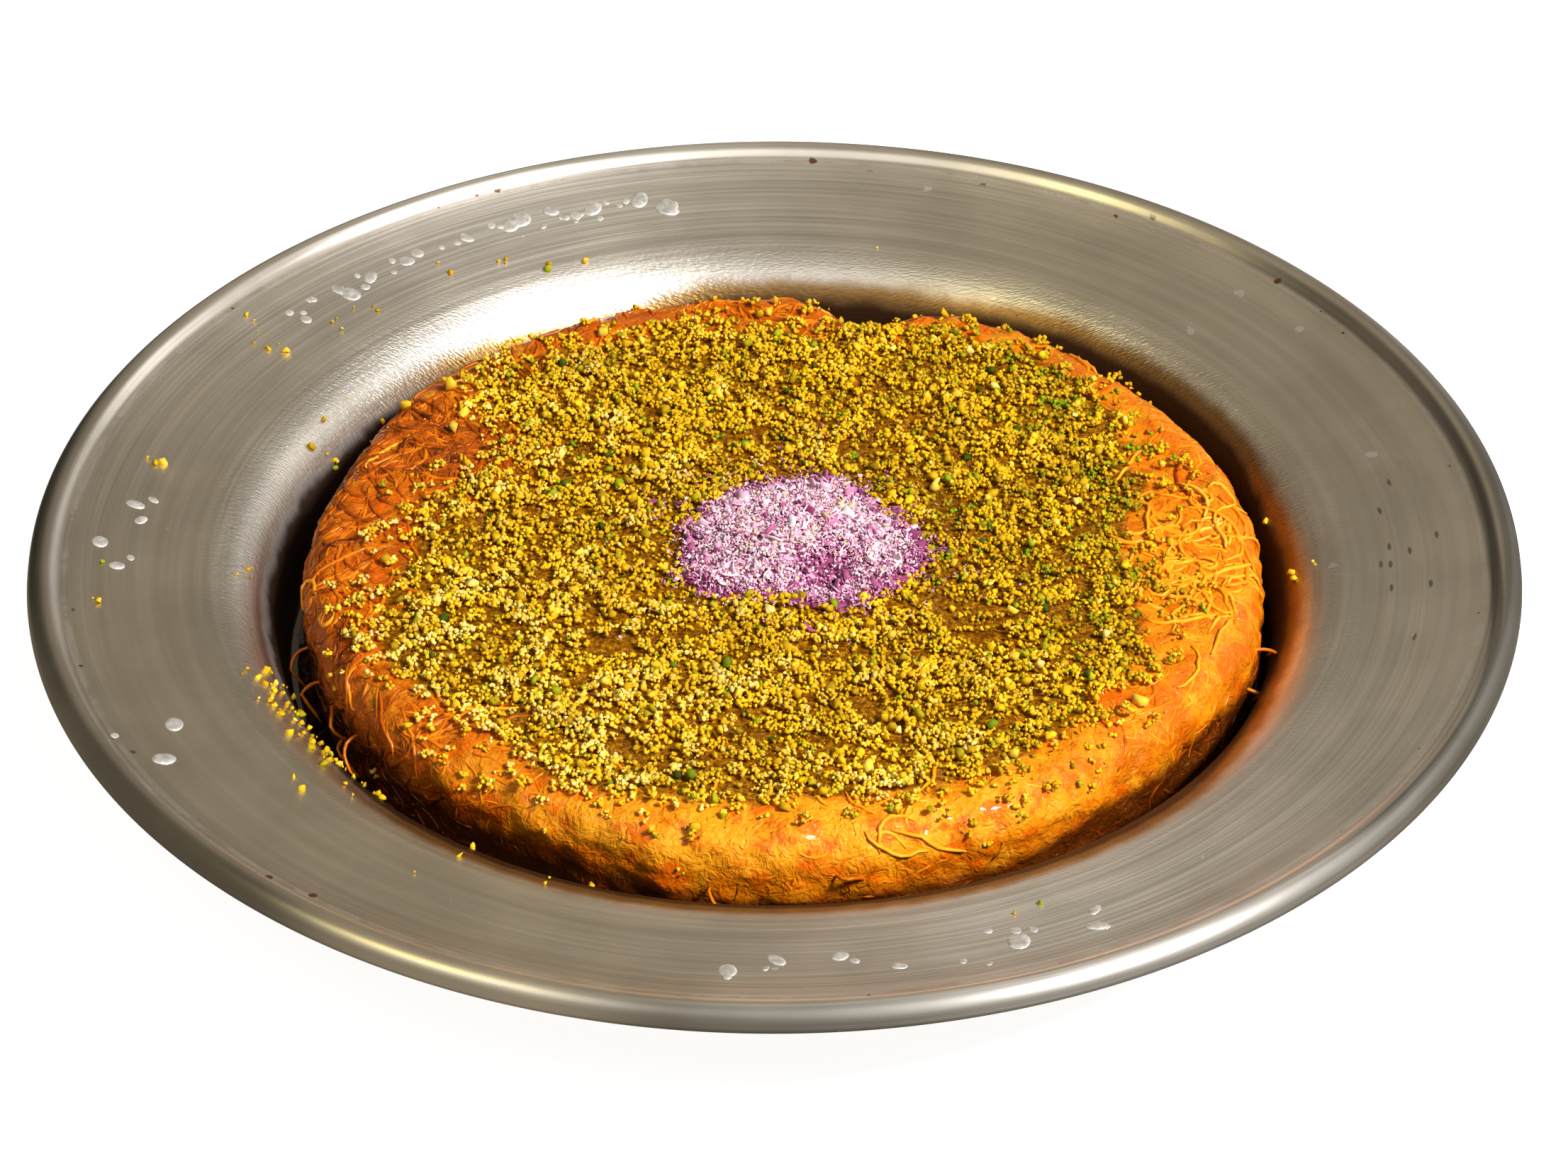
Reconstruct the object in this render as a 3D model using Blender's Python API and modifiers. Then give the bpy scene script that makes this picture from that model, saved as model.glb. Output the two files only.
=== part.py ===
"""A kunafa in its steel dish.

The kunafa is a pressed round cake of baked pastry shreds, with ground pistachio over its
top and a small heap of crushed rose petals in the middle. The dish is one pressed sheet:
a flat floor, a short steep wall, a wide sloping brim and a rolled edge.
"""

import math
import random

import bmesh
import bpy
from mathutils import Euler, Vector, noise
from mathutils.bvhtree import BVHTree

MM = 0.001

# The dish, as its pressed sheet runs from the middle of the floor to the rolled edge
DISH_RADIUS = 100.0 * MM
DISH_HEIGHT = 21.0 * MM
SHEET = 0.8 * MM
CORNER_BEND = 4.0 * MM
WALL_SLOPE = math.radians(80)
MOUTH_BEND = 12.0 * MM
BRIM_WIDTH = 17.9 * MM
BRIM_SLOPE = math.radians(9)
EDGE_BEND = 2.0 * MM
EDGE_RISE = math.radians(50)
HEM_SLOPE = math.radians(-80)
HEM_LENGTH = 1.0 * MM
DISH_STEPS = 64

# The cake of pastry shreds
GAP = 0.3 * MM
FOOD_RADIUS = 64.2 * MM
FOOD_SHIFT = 1.0 * MM
FOOD_TOP = 17.5 * MM
SHOULDER = 5.5 * MM
FOOT = 3.0 * MM
FOOD_STEPS = 72
TOP_RINGS = 10
# Each lobe of the cake's outline is how many times it repeats, its depth, and its azimuth
EDGE_LOBES = ((2, 0.5 * MM, 10), (3, 0.4 * MM, 250), (5, 0.35 * MM, 60), (9, 0.3 * MM, 20))
SWELL = 0.6 * MM
SWELL_SIZE = 19.0 * MM
CRAG = 0.5 * MM
CRAG_SIZE = 6.0 * MM

# The place at the far edge where a piece of crust has broken away
CHIP_AZIMUTH = math.radians(78)
CHIP_WIDTH = math.radians(6)
CHIP_DEPTH = 3.2 * MM
CHIP_PULL = 3.0 * MM
CHIP_REACH = (0.82 * FOOD_RADIUS, 0.97 * FOOD_RADIUS)

# Pastry shreds that lie on the crust
SHRED_COUNT = 18
SHRED_RADIUS = 0.5 * MM
SHRED_STEP = 2.6 * MM
SHRED_POINTS = 6
SHRED_LIFT = 0.1 * MM
SHRED_BAND = 1.6 * SHOULDER
SHRED_SPREAD = 0.3
SHRED_TURN = 0.9
SHRED_CURL = 0.35

# Ground pistachio, as azimuth in degrees and how far the layer reaches from the middle
PISTACHIO_REACH = (
    (0, 49 * MM),
    (45, 58 * MM),
    (95, 51 * MM),
    (135, 55 * MM),
    (165, 50 * MM),
    (210, 55 * MM),
    (270, 52 * MM),
    (310, 57 * MM),
)
GRAIN_COUNT = 130
GRAIN_SIZE = (1.7 * MM, 2.5 * MM)
GRAIN_DENTS = (0.8, 1.05)
GRAIN_WIDTH = (0.7, 0.95)
GRAIN_DEPTH = (0.6, 0.85)
GRAIN_MARGIN = 2.0 * MM
GRAIN_SINK = 0.12
GRAIN_STRAY = 2.4 * MM
GOLDEN_ANGLE = math.pi * (3 - math.sqrt(5))

# The heap of crushed rose petals
HEAP_PLACE = Vector((3.5 * MM, -1.5 * MM, 0))
HEAP_RADIUS = 15.5 * MM
HEAP_HEIGHT = 3.4 * MM
HEAP_EDGE = 0.7 * MM
HEAP_STEPS = 24
HEAP_RINGS = 6
HEAP_LOBES = ((2, 1.0 * MM, 170), (3, 1.0 * MM, 330), (5, 0.8 * MM, 70))
HEAP_BUMP = 0.5 * MM
HEAP_BUMP_SIZE = 3.0 * MM
PETAL_COUNT = 24
PETAL_SIZE = (2.2 * MM, 3.4 * MM)
PETAL_THICKNESS = 0.45 * MM
PETAL_WIDTH = (0.45, 0.8)
PETAL_CUP = 0.3
PETAL_LEAN = (math.radians(12), math.radians(32))
PETAL_LIFT = 0.1 * MM
SEAT_FADE = 6.0 * MM

# Two mesh points closer than this are one, and every drop line starts above everything
WELD = 0.00001
ABOVE = Vector((0.0, 0.0, 2 * DISH_HEIGHT))
DOWN = Vector((0.0, 0.0, -1.0))

# Colours as red, green and blue, each with its roughness and metallic value
STEEL = ((0.56, 0.54, 0.50), 0.32, 1.0)
CRUST = ((0.83, 0.30, 0.03), 0.35, 0.0)
ROSE = ((0.75, 0.45, 0.62), 0.80, 0.0)


def clear_scene():
    """Removes whatever objects the file opened with."""
    for old in list(bpy.data.objects):
        bpy.data.objects.remove(old, do_unlink=True)


def new_collection(name):
    """A collection of that name in the scene."""
    made = bpy.data.collections.new(name)
    bpy.context.scene.collection.children.link(made)
    return made


def finish_material(name, look):
    """A Principled material from a colour, a roughness and a metallic value."""
    colour, roughness, metallic = look
    made = bpy.data.materials.new(name)
    made.use_nodes = True
    shader = made.node_tree.nodes["Principled BSDF"]
    shader.inputs["Base Color"].default_value = (*colour, 1.0)
    shader.inputs["Roughness"].default_value = roughness
    shader.inputs["Metallic"].default_value = metallic
    return made


class Pen:
    """Draws a section line by straight runs and bends, from a start with a heading."""

    def __init__(self, radius, height, heading=0.0):
        self.points = [(radius, height)]
        self.heading = heading

    def straight(self, length):
        """Goes on for that length in the present heading."""
        radius, height = self.points[-1]
        step = (length * math.cos(self.heading), length * math.sin(self.heading))
        self.points.append((radius + step[0], height + step[1]))

    def bend(self, size, heading, parts):
        """Turns to a new heading on an arc of that radius, in so many short parts."""
        radius, height = self.points[-1]
        start = self.heading
        side = size if heading > start else -size
        for part in range(1, parts + 1):
            now = start + (heading - start) * part / parts
            across = side * (math.sin(now) - math.sin(start))
            up = side * (math.cos(start) - math.cos(now))
            self.points.append((radius + across, height + up))
        self.heading = heading


def bend_size(size, start, end):
    """How far a bend goes outward and upward."""
    side = size if end > start else -size
    return side * (math.sin(end) - math.sin(start)), side * (math.cos(start) - math.cos(end))


def dish_section():
    """The upper side of the dish's sheet, from the axis out to the hem."""
    bends = (
        bend_size(CORNER_BEND, 0, WALL_SLOPE),
        bend_size(MOUTH_BEND, WALL_SLOPE, BRIM_SLOPE),
        bend_size(EDGE_BEND, BRIM_SLOPE, EDGE_RISE),
    )
    crest_rise = bend_size(EDGE_BEND, EDGE_RISE, 0)[1]
    brim_across = BRIM_WIDTH * math.cos(BRIM_SLOPE)
    brim_rise = BRIM_WIDTH * math.sin(BRIM_SLOPE)
    rise = SHEET + sum(up for _, up in bends) + brim_rise + crest_rise
    wall = (DISH_HEIGHT - rise) / math.sin(WALL_SLOPE)
    edge_across = bend_size(EDGE_BEND, EDGE_RISE, HEM_SLOPE)[0] + HEM_LENGTH * math.cos(HEM_SLOPE)
    across = sum(out for out, _ in bends) + wall * math.cos(WALL_SLOPE) + brim_across + edge_across
    pen = Pen(0.0, SHEET)
    pen.straight(DISH_RADIUS - across)
    pen.bend(CORNER_BEND, WALL_SLOPE, 2)
    pen.straight(wall)
    pen.bend(MOUTH_BEND, BRIM_SLOPE, 4)
    pen.straight(BRIM_WIDTH)
    pen.bend(EDGE_BEND, EDGE_RISE, 1)
    pen.bend(EDGE_BEND, 0.0, 1)
    pen.bend(EDGE_BEND, HEM_SLOPE, 2)
    pen.straight(HEM_LENGTH)
    return pen.points


def turned(name, section, steps, collection):
    """An object that holds a section line with a Screw modifier round the Z axis."""
    mesh = bpy.data.meshes.new(name)
    drawing = bmesh.new()
    places = [drawing.verts.new((radius, 0.0, height)) for radius, height in section]
    for one, other in zip(places, places[1:]):
        drawing.edges.new((one, other))
    drawing.to_mesh(mesh)
    drawing.free()
    made = bpy.data.objects.new(name, mesh)
    collection.objects.link(made)
    turn = made.modifiers.new("turn", "SCREW")
    turn.axis = "Z"
    turn.steps = steps
    turn.render_steps = steps
    turn.use_merge_vertices = True
    turn.merge_threshold = WELD
    turn.use_smooth_shade = True
    return made


def settle(piece):
    """Makes what a piece's modifiers give its own mesh."""
    graph = bpy.context.evaluated_depsgraph_get()
    mesh = bpy.data.meshes.new_from_object(piece.evaluated_get(graph))
    piece.modifiers.clear()
    piece.data = mesh
    return piece


def make_dish(collection):
    """The pressed dish: its upper side turned, then given the sheet's thickness below."""
    section = dish_section()
    dish = turned("dish", section, DISH_STEPS, collection)
    shell = dish.modifiers.new("sheet", "SOLIDIFY")
    shell.thickness = SHEET
    shell.offset = -1.0
    shell.use_even_offset = True
    dish.data.materials.append(finish_material("brushed_steel", STEEL))
    return dish


def smooth_step(value, low, high):
    """From 0 at low to 1 at high, with a soft start and end."""
    share = min(1.0, max(0.0, (value - low) / (high - low)))
    return share * share * (3 - 2 * share)


def lobes(azimuth, waves):
    """The sum of waves round an outline."""
    return sum(
        depth * math.cos(count * (azimuth - math.radians(phase))) for count, depth, phase in waves
    )


def clear_of_heap(x, y):
    """0 on the flat seat under the petal heap and 1 well away from it."""
    away = math.hypot(x - HEAP_PLACE.x, y - HEAP_PLACE.y)
    return smooth_step(away, HEAP_RADIUS + GRAIN_MARGIN, HEAP_RADIUS + GRAIN_MARGIN + SEAT_FADE)


def shape_cake(cake):
    """Gives the turned cake its uneven outline, swells, crags and broken edge."""
    for vertex in cake.data.vertices:
        x, y, z = vertex.co
        radius = math.hypot(x, y)
        azimuth = math.atan2(y, x)
        inner = smooth_step(radius, 0.3 * FOOD_RADIUS, FOOD_RADIUS)
        reach = radius + inner * lobes(azimuth, EDGE_LOBES)
        upper = smooth_step(z, SHEET + FOOT, FOOD_TOP)
        offset = (azimuth - CHIP_AZIMUTH) / CHIP_WIDTH
        chip = math.exp(-offset * offset) * smooth_step(radius, *CHIP_REACH)
        place = Vector((x, y, z))
        free = clear_of_heap(x + FOOD_SHIFT, y) * smooth_step(z, SHEET + FOOT, SHEET + 2 * FOOT)
        swell = SWELL * noise.noise(place / SWELL_SIZE)
        crag = CRAG * noise.noise(place / CRAG_SIZE)
        side = smooth_step(radius, FOOD_RADIUS - SHOULDER, FOOD_RADIUS)
        reach += free * side * crag - chip * CHIP_PULL * upper
        height = z + free * (1 - side) * (swell + crag) - chip * CHIP_DEPTH * upper
        vertex.co = (reach * math.cos(azimuth) + FOOD_SHIFT, reach * math.sin(azimuth), height)


def cake_section():
    """The cake's outline in section, from the middle of its top out and down to its foot."""
    top_reach = FOOD_RADIUS - SHOULDER
    pen = Pen(0.0, FOOD_TOP)
    for _ in range(TOP_RINGS):
        pen.straight(top_reach / TOP_RINGS)
    pen.bend(SHOULDER, math.radians(-90), 3)
    side = FOOD_TOP - SHOULDER - FOOT - SHEET - GAP
    pen.straight(side / 2)
    pen.straight(side / 2)
    pen.bend(FOOT, math.radians(-180), 2)
    pen.points.append((0.0, SHEET + GAP))
    return pen.points


def surface_of(piece):
    """A search tree of a piece's faces, to lay things on."""
    graph = bpy.context.evaluated_depsgraph_get()
    return BVHTree.FromObject(piece, graph)


def shred_path(surface, start, heading, curl):
    """Points along a shred that follows the crust from a start place."""
    place, normal, _, _ = surface.find_nearest(start)
    path = []
    for _ in range(SHRED_POINTS):
        path.append(place + normal * SHRED_LIFT)
        heading = (heading - normal * heading.dot(normal)).normalized()
        side = normal.cross(heading)
        heading = (heading + side * curl).normalized()
        place, normal, _, _ = surface.find_nearest(place + heading * SHRED_STEP)
    return path


def tube(name, path, radius, collection):
    """A closed tube along a path, as a mesh with its end caps welded."""
    curve = bpy.data.curves.new(name, "CURVE")
    curve.dimensions = "3D"
    curve.bevel_depth = radius
    curve.bevel_resolution = 1
    curve.use_fill_caps = True
    spline = curve.splines.new("POLY")
    spline.points.add(len(path) - 1)
    for point, place in zip(spline.points, path):
        point.co = (*place, 1.0)
    drawn = bpy.data.objects.new(name, curve)
    collection.objects.link(drawn)
    graph = bpy.context.evaluated_depsgraph_get()
    mesh = bpy.data.meshes.new_from_object(drawn.evaluated_get(graph))
    bpy.data.objects.remove(drawn, do_unlink=True)
    weld = bmesh.new()
    weld.from_mesh(mesh)
    bmesh.ops.remove_doubles(weld, verts=weld.verts, dist=WELD)
    weld.to_mesh(mesh)
    weld.free()
    made = bpy.data.objects.new(name, mesh)
    collection.objects.link(made)
    return made


def add_shreds(surface, collection, draw):
    """Shreds spread evenly round the crust's shoulder and the bare band inside it."""
    for number in range(SHRED_COUNT):
        place_share = (number + draw.uniform(-SHRED_SPREAD, SHRED_SPREAD)) / SHRED_COUNT
        azimuth = 2 * math.pi * place_share
        radius = FOOD_RADIUS - draw.uniform(0.0, SHRED_BAND)
        height = FOOD_TOP - draw.uniform(0.0, SHOULDER)
        start = Vector((radius * math.cos(azimuth) + FOOD_SHIFT, radius * math.sin(azimuth), height))
        turn = azimuth + math.pi / 2 + draw.uniform(-SHRED_TURN, SHRED_TURN)
        heading = Vector((math.cos(turn), math.sin(turn), 0.0))
        path = shred_path(surface, start, heading, draw.uniform(-SHRED_CURL, SHRED_CURL))
        tube(f"shred_{number}", path, SHRED_RADIUS, collection)


def pistachio_reach(azimuth):
    """How far the pistachio lies from the middle at an azimuth, in a smooth line."""
    degrees = math.degrees(azimuth) % 360
    stations = PISTACHIO_REACH + ((PISTACHIO_REACH[0][0] + 360, PISTACHIO_REACH[0][1]),)
    for (one, near), (other, far) in zip(stations, stations[1:]):
        if one <= degrees <= other:
            return near + (far - near) * smooth_step(degrees, one, other)
    return PISTACHIO_REACH[0][1]


def any_turn(draw):
    """A turn to any side."""
    return Euler([draw.uniform(-math.pi, math.pi) for _ in range(3)])


def grain(name, size, collection, draw):
    """One crumb of pistachio, an uneven many-sided lump."""
    mesh = bpy.data.meshes.new(name)
    lump = bmesh.new()
    bmesh.ops.create_icosphere(lump, subdivisions=1, radius=size / 2)
    for vertex in lump.verts:
        vertex.co *= draw.uniform(*GRAIN_DENTS)
    stretch = (1.0, draw.uniform(*GRAIN_WIDTH), draw.uniform(*GRAIN_DEPTH))
    bmesh.ops.scale(lump, vec=stretch, verts=lump.verts)
    lump.to_mesh(mesh)
    lump.free()
    made = bpy.data.objects.new(name, mesh)
    collection.objects.link(made)
    return made


def add_grains(surface, collection, draw):
    """The largest crumbs, spread evenly over the pistachio's stretch of the top."""
    for number in range(GRAIN_COUNT):
        azimuth = number * GOLDEN_ANGLE
        radius = math.sqrt((number + 0.5) / GRAIN_COUNT) * pistachio_reach(azimuth)
        x = radius * math.cos(azimuth) + draw.uniform(-1, 1) * GRAIN_STRAY
        y = radius * math.sin(azimuth) + draw.uniform(-1, 1) * GRAIN_STRAY
        size = draw.uniform(*GRAIN_SIZE)
        turn = any_turn(draw)
        away = math.hypot(x - HEAP_PLACE.x, y - HEAP_PLACE.y)
        edge = HEAP_RADIUS + lobes(math.atan2(y - HEAP_PLACE.y, x - HEAP_PLACE.x), HEAP_LOBES)
        if away < edge + GRAIN_MARGIN:
            continue
        place, _, _, _ = surface.ray_cast(Vector((x, y, 0.0)) + ABOVE, DOWN)
        crumb = grain(f"crumb_{number}", size, collection, draw)
        crumb.location = place + Vector((0, 0, GRAIN_SINK * size))
        crumb.rotation_euler = turn


def join_all(core, pieces):
    """Unites a core with every object of a collection, then removes those objects."""
    bpy.context.view_layer.update()
    union = core.modifiers.new("fuse", "BOOLEAN")
    union.operation = "UNION"
    union.operand_type = "COLLECTION"
    union.collection = pieces
    union.solver = "EXACT"
    settle(core)
    for piece in list(pieces.objects):
        bpy.data.objects.remove(piece, do_unlink=True)
    bpy.data.collections.remove(pieces)
    keep_largest(core)
    return core


def keep_largest(piece):
    """Drops loose scraps, so that what is left is one body."""
    work = bmesh.new()
    work.from_mesh(piece.data)
    bmesh.ops.remove_doubles(work, verts=work.verts, dist=0.2 * WELD)
    unseen = set(work.verts)
    shells = []
    while unseen:
        front = [unseen.pop()]
        shell = list(front)
        while front:
            vertex = front.pop()
            for edge in vertex.link_edges:
                other = edge.other_vert(vertex)
                if other in unseen:
                    unseen.remove(other)
                    front.append(other)
                    shell.append(other)
        shells.append(shell)
    shells.sort(key=len)
    for shell in shells[:-1]:
        bmesh.ops.delete(work, geom=shell, context="VERTS")
    work.to_mesh(piece.data)
    work.free()


def make_kunafa(collection):
    """The cake of shreds, with its larger shreds and pistachio crumbs fused on."""
    draw = random.Random(11)
    cake = turned("kunafa", cake_section(), FOOD_STEPS, collection)
    settle(cake)
    shape_cake(cake)
    surface = surface_of(cake)
    toppings = new_collection("toppings")
    add_shreds(surface, toppings, draw)
    add_grains(surface, toppings, draw)
    join_all(cake, toppings)
    cake.data.materials.clear()
    cake.data.materials.append(finish_material("baked_shreds", CRUST))
    return cake


def heap_section():
    """Half of the petal heap in section, a low dome on a flat seat."""
    seat = FOOD_TOP + GAP
    points = []
    for ring in range(HEAP_RINGS + 1):
        share = ring / HEAP_RINGS
        height = HEAP_EDGE + (HEAP_HEIGHT - HEAP_EDGE) * math.cos(share * math.pi / 2) ** 1.3
        points.append((share * HEAP_RADIUS, seat + height))
    points.append((HEAP_RADIUS, seat))
    points.append((0.0, seat))
    return points


def shape_heap(heap):
    """Gives the turned heap its uneven outline and small bumps."""
    seat = FOOD_TOP + GAP
    for vertex in heap.data.vertices:
        x, y, z = vertex.co
        radius = math.hypot(x, y)
        azimuth = math.atan2(y, x)
        reach = radius * (1 + lobes(azimuth, HEAP_LOBES) / HEAP_RADIUS)
        loose = smooth_step(z - seat, 0.0, HEAP_EDGE)
        bump = HEAP_BUMP * noise.noise(Vector((x, y, z)) / HEAP_BUMP_SIZE)
        vertex.co = (reach * math.cos(azimuth), reach * math.sin(azimuth), z + loose * bump)
        vertex.co += HEAP_PLACE


def petal(name, size, collection, draw):
    """One crushed bit of petal: a small curved leaf with a real thickness."""
    mesh = bpy.data.meshes.new(name)
    leaf = bmesh.new()
    bmesh.ops.create_grid(leaf, x_segments=2, y_segments=1, size=size / 2)
    bmesh.ops.triangulate(leaf, faces=leaf.faces)
    narrow = draw.uniform(*PETAL_WIDTH)
    cup = draw.uniform(-PETAL_CUP, PETAL_CUP)
    for vertex in leaf.verts:
        x, y, _ = vertex.co
        vertex.co = (x, y * narrow, cup * x * x / size)
    leaf.to_mesh(mesh)
    leaf.free()
    made = bpy.data.objects.new(name, mesh)
    collection.objects.link(made)
    skin = made.modifiers.new("skin", "SOLIDIFY")
    skin.thickness = PETAL_THICKNESS
    skin.offset = 0.0
    return settle(made)


def add_petals(surface, collection, draw):
    """The largest bits of petal, spread over the heap and leaning every way."""
    for number in range(PETAL_COUNT):
        azimuth = number * GOLDEN_ANGLE
        radius = math.sqrt((number + 0.5) / PETAL_COUNT) * (HEAP_RADIUS - 0.5 * PETAL_SIZE[1])
        spot = HEAP_PLACE + Vector((radius * math.cos(azimuth), radius * math.sin(azimuth), 0.0))
        place, _, _, _ = surface.ray_cast(spot + ABOVE, DOWN)
        bit = petal(f"petal_{number}", draw.uniform(*PETAL_SIZE), collection, draw)
        bit.location = place + Vector((0, 0, PETAL_LIFT))
        bit.rotation_euler = Euler((draw.uniform(*PETAL_LEAN), 0.0, draw.uniform(-math.pi, math.pi)))


def make_petal_heap(collection):
    """The heap of crushed rose petals on its seat in the middle of the top."""
    draw = random.Random(5)
    heap = turned("rose_petals", heap_section(), HEAP_STEPS, collection)
    settle(heap)
    shape_heap(heap)
    bits = new_collection("bits")
    add_petals(surface_of(heap), bits, draw)
    join_all(heap, bits)
    heap.data.materials.clear()
    heap.data.materials.append(finish_material("rose_petal", ROSE))
    return heap


def main():
    clear_scene()
    collection = new_collection("kunafa_in_dish")
    make_dish(collection)
    make_kunafa(collection)
    make_petal_heap(collection)


main()
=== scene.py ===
"""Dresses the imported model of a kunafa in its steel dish.

The dish becomes brushed steel with dents and dried spots. The cake becomes glossy baked
shreds under ground pistachio, with a heap of crushed rose petals in the middle.
"""
import math

import bmesh
import bpy
import numpy as np
from bpy.props import FloatProperty, FloatVectorProperty, IntProperty, PointerProperty
from mathutils import Matrix, Vector, noise
from mathutils.bvhtree import BVHTree


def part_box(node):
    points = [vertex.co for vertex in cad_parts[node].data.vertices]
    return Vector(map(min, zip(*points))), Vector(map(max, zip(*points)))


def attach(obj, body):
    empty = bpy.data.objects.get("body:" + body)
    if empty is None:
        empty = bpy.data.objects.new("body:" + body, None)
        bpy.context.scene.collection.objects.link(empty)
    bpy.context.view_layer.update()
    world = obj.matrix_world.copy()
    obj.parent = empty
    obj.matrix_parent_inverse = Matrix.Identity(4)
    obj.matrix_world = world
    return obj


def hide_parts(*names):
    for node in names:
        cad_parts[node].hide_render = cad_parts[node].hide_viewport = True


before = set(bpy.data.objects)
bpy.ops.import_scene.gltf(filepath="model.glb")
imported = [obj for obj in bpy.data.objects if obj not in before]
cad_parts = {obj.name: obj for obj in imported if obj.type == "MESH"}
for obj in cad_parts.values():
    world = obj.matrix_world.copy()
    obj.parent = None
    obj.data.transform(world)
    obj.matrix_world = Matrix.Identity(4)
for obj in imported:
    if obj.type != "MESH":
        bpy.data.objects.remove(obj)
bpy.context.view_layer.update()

bl_info = {
    "name": "Kunafa in a steel dish",
    "version": (1, 0, 0),
    "blender": (4, 5, 0),
    "location": "3D View > Sidebar > Kunafa",
    "description": "Makes the steel dish, the baked shreds, the pistachio and the rose petals",
    "category": "Object",
}

MM = 0.001
DISH_LOW, DISH_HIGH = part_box("dish")
CAKE_LOW, CAKE_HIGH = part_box("kunafa")
WELD = 0.00001
ABOVE = Vector((0.0, 0.0, 0.05))
DOWN = Vector((0.0, 0.0, -1.0))
# The seed of each piece's random draws
SEEDS = {
    "dents": 3,
    "pastry_shreds": 21,
    "pale_shreds": 22,
    "stray_shreds": 23,
    "pistachio_clumps": 31,
    "pistachio_meal": 32,
    "pistachio_grit": 33,
    "pistachio_dust": 34,
    "pistachio_chunks": 35,
    "petal_bits": 41,
    "petal_leaves": 42,
    "fallen_crumbs": 51,
    "dried_drops": 61,
}

# The dish's slopes along its section
WALL_SLOPE = math.radians(80)
BRIM_START = math.radians(7)
BRIM_MIDDLE = math.radians(9)
BRIM_END = math.radians(18)
EDGE_RISE = math.radians(50)
HEM_SLOPE = math.radians(-80)

# How far the inner crease of the rolled edge lies inside the dish's radius
CREASE_INSET = 5.0 * MM
# The strength and colour of what lies or is painted on the steel, lowest first: stain, dried spots,
# rust, dings darkened as painted shade in the dents, scratches lightened as a painted glint, the
# amber band as a painted reflection of the crust, and the dark band as painted shade in the gap
ON_STEEL = (
    (0.70, (0.26, 0.19, 0.11)),
    (0.50, (0.30, 0.24, 0.16)),
    (0.95, (0.12, 0.04, 0.01)),
    (0.75, (0.16, 0.14, 0.10)),
    (0.35, (0.95, 0.94, 0.90)),
    (0.92, (0.27, 0.135, 0.012)),
    (0.98, (0.03, 0.009, 0.001)),
)

# The cake's outline: how often each lobe repeats, its depth, and its azimuth in degrees
EDGE_LOBES = ((2, 0.5 * MM, 10), (3, 0.4 * MM, 250), (5, 0.35 * MM, 60), (9, 0.3 * MM, 20))
CHIP_AZIMUTH = math.radians(78)
CHIP_WIDTH = math.radians(6)
CHIP_DEPTH = 3.2 * MM
CHIP_PULL = 3.0 * MM

# How far the pistachio reaches from the middle, by azimuth in degrees
PISTACHIO_REACH = (
    (0, 48 * MM),
    (16, 53 * MM),
    (43, 59 * MM),
    (65, 59 * MM),
    (90, 52 * MM),
    (112, 55 * MM),
    (135, 59 * MM),
    (152, 46 * MM),
    (180, 50 * MM),
    (203, 58 * MM),
    (228, 57 * MM),
    (242, 60 * MM),
    (270, 57 * MM),
    (304, 59 * MM),
    (325, 56 * MM),
    (348, 51 * MM),
)
# Places where the pistachio is thin: x, y, radius, and the share that is missing
BARE_PATCHES = (
    (-44 * MM, 21 * MM, 10 * MM, 0.66),
    (-22 * MM, -20 * MM, 7.0 * MM, 0.72),
    (-6 * MM, -46 * MM, 5.5 * MM, 0.70),
    (29 * MM, -19 * MM, 6.5 * MM, 0.78),
    (-17 * MM, -3 * MM, 4.5 * MM, 0.5),
    (20 * MM, 30 * MM, 4 * MM, 0.6),
    (-24 * MM, 21 * MM, 3.5 * MM, 0.5),
    (11 * MM, -37 * MM, 4 * MM, 0.5),
)
# How the syrup shines, with the colour of its highlights
SYRUP_GLOSS = {
    "Specular IOR Level": 0.4,
    "Specular Tint": (1.0, 0.62, 0.28, 1.0),
    "Coat Roughness": 0.06,
}
# Smaller differences in the crust's colour; STRING_SHADE is painted shade in the hollows of the
# string relief
RED_FLECKS = (0.66, 0.105, 0.0008)
BURN_COLOUR = (0.20, 0.036, 0.0005)
STRING_SHADE = (0.52, 0.085, 0.0008)
# SOAKED_DARK is also painted shade between the pistachio crumbs
SOAKED_DARK = (0.045, 0.015, 0.0002)
SOAKED_LIGHT = (0.46, 0.23, 0.004)
# The darkest place of the bare crust at the left
BURN_PLACE = (-43 * MM, 21 * MM, 17.5 * MM)

# The petal heap's outline, as on the cake, and the hollow in it
HEAP_PLACE = Vector((3.5 * MM, -1.5 * MM, 0.0))
HEAP_LOBES = ((2, 1.0 * MM, 170), (3, 1.0 * MM, 330), (5, 0.8 * MM, 70))
HEAP_HOLLOW = Vector((7.0 * MM, -9.0 * MM, 0.0))
HEAP_HOLLOW_SIZE = 4.0 * MM

# Each lamp: name, share of the power, width and height, distance, azimuth and elevation in
# degrees, colour, whether the steel shows it, and whether the food is lit by it
LAMPS = (
    ("key_light", 1.0, 0.24, 0.24, 1.5, -32, 48, (1.0, 0.97, 0.93), True, True),
    ("sky_card", 0.27, 3.0, 0.95, 1.8, -96, 63, (1.0, 0.985, 0.96), True, True),
    ("side_card", 0.050, 0.6, 0.6, 1.6, 33, 34, (1.0, 0.98, 0.95), True, False),
    ("right_card", 0.0146, 0.7, 0.7, 1.6, 58, 12, (0.95, 0.97, 1.0), True, False),
    ("yellow_card", 0.06, 0.32, 0.42, 1.6, 200, 57, (1.0, 0.80, 0.18), True, False),
)
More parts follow.
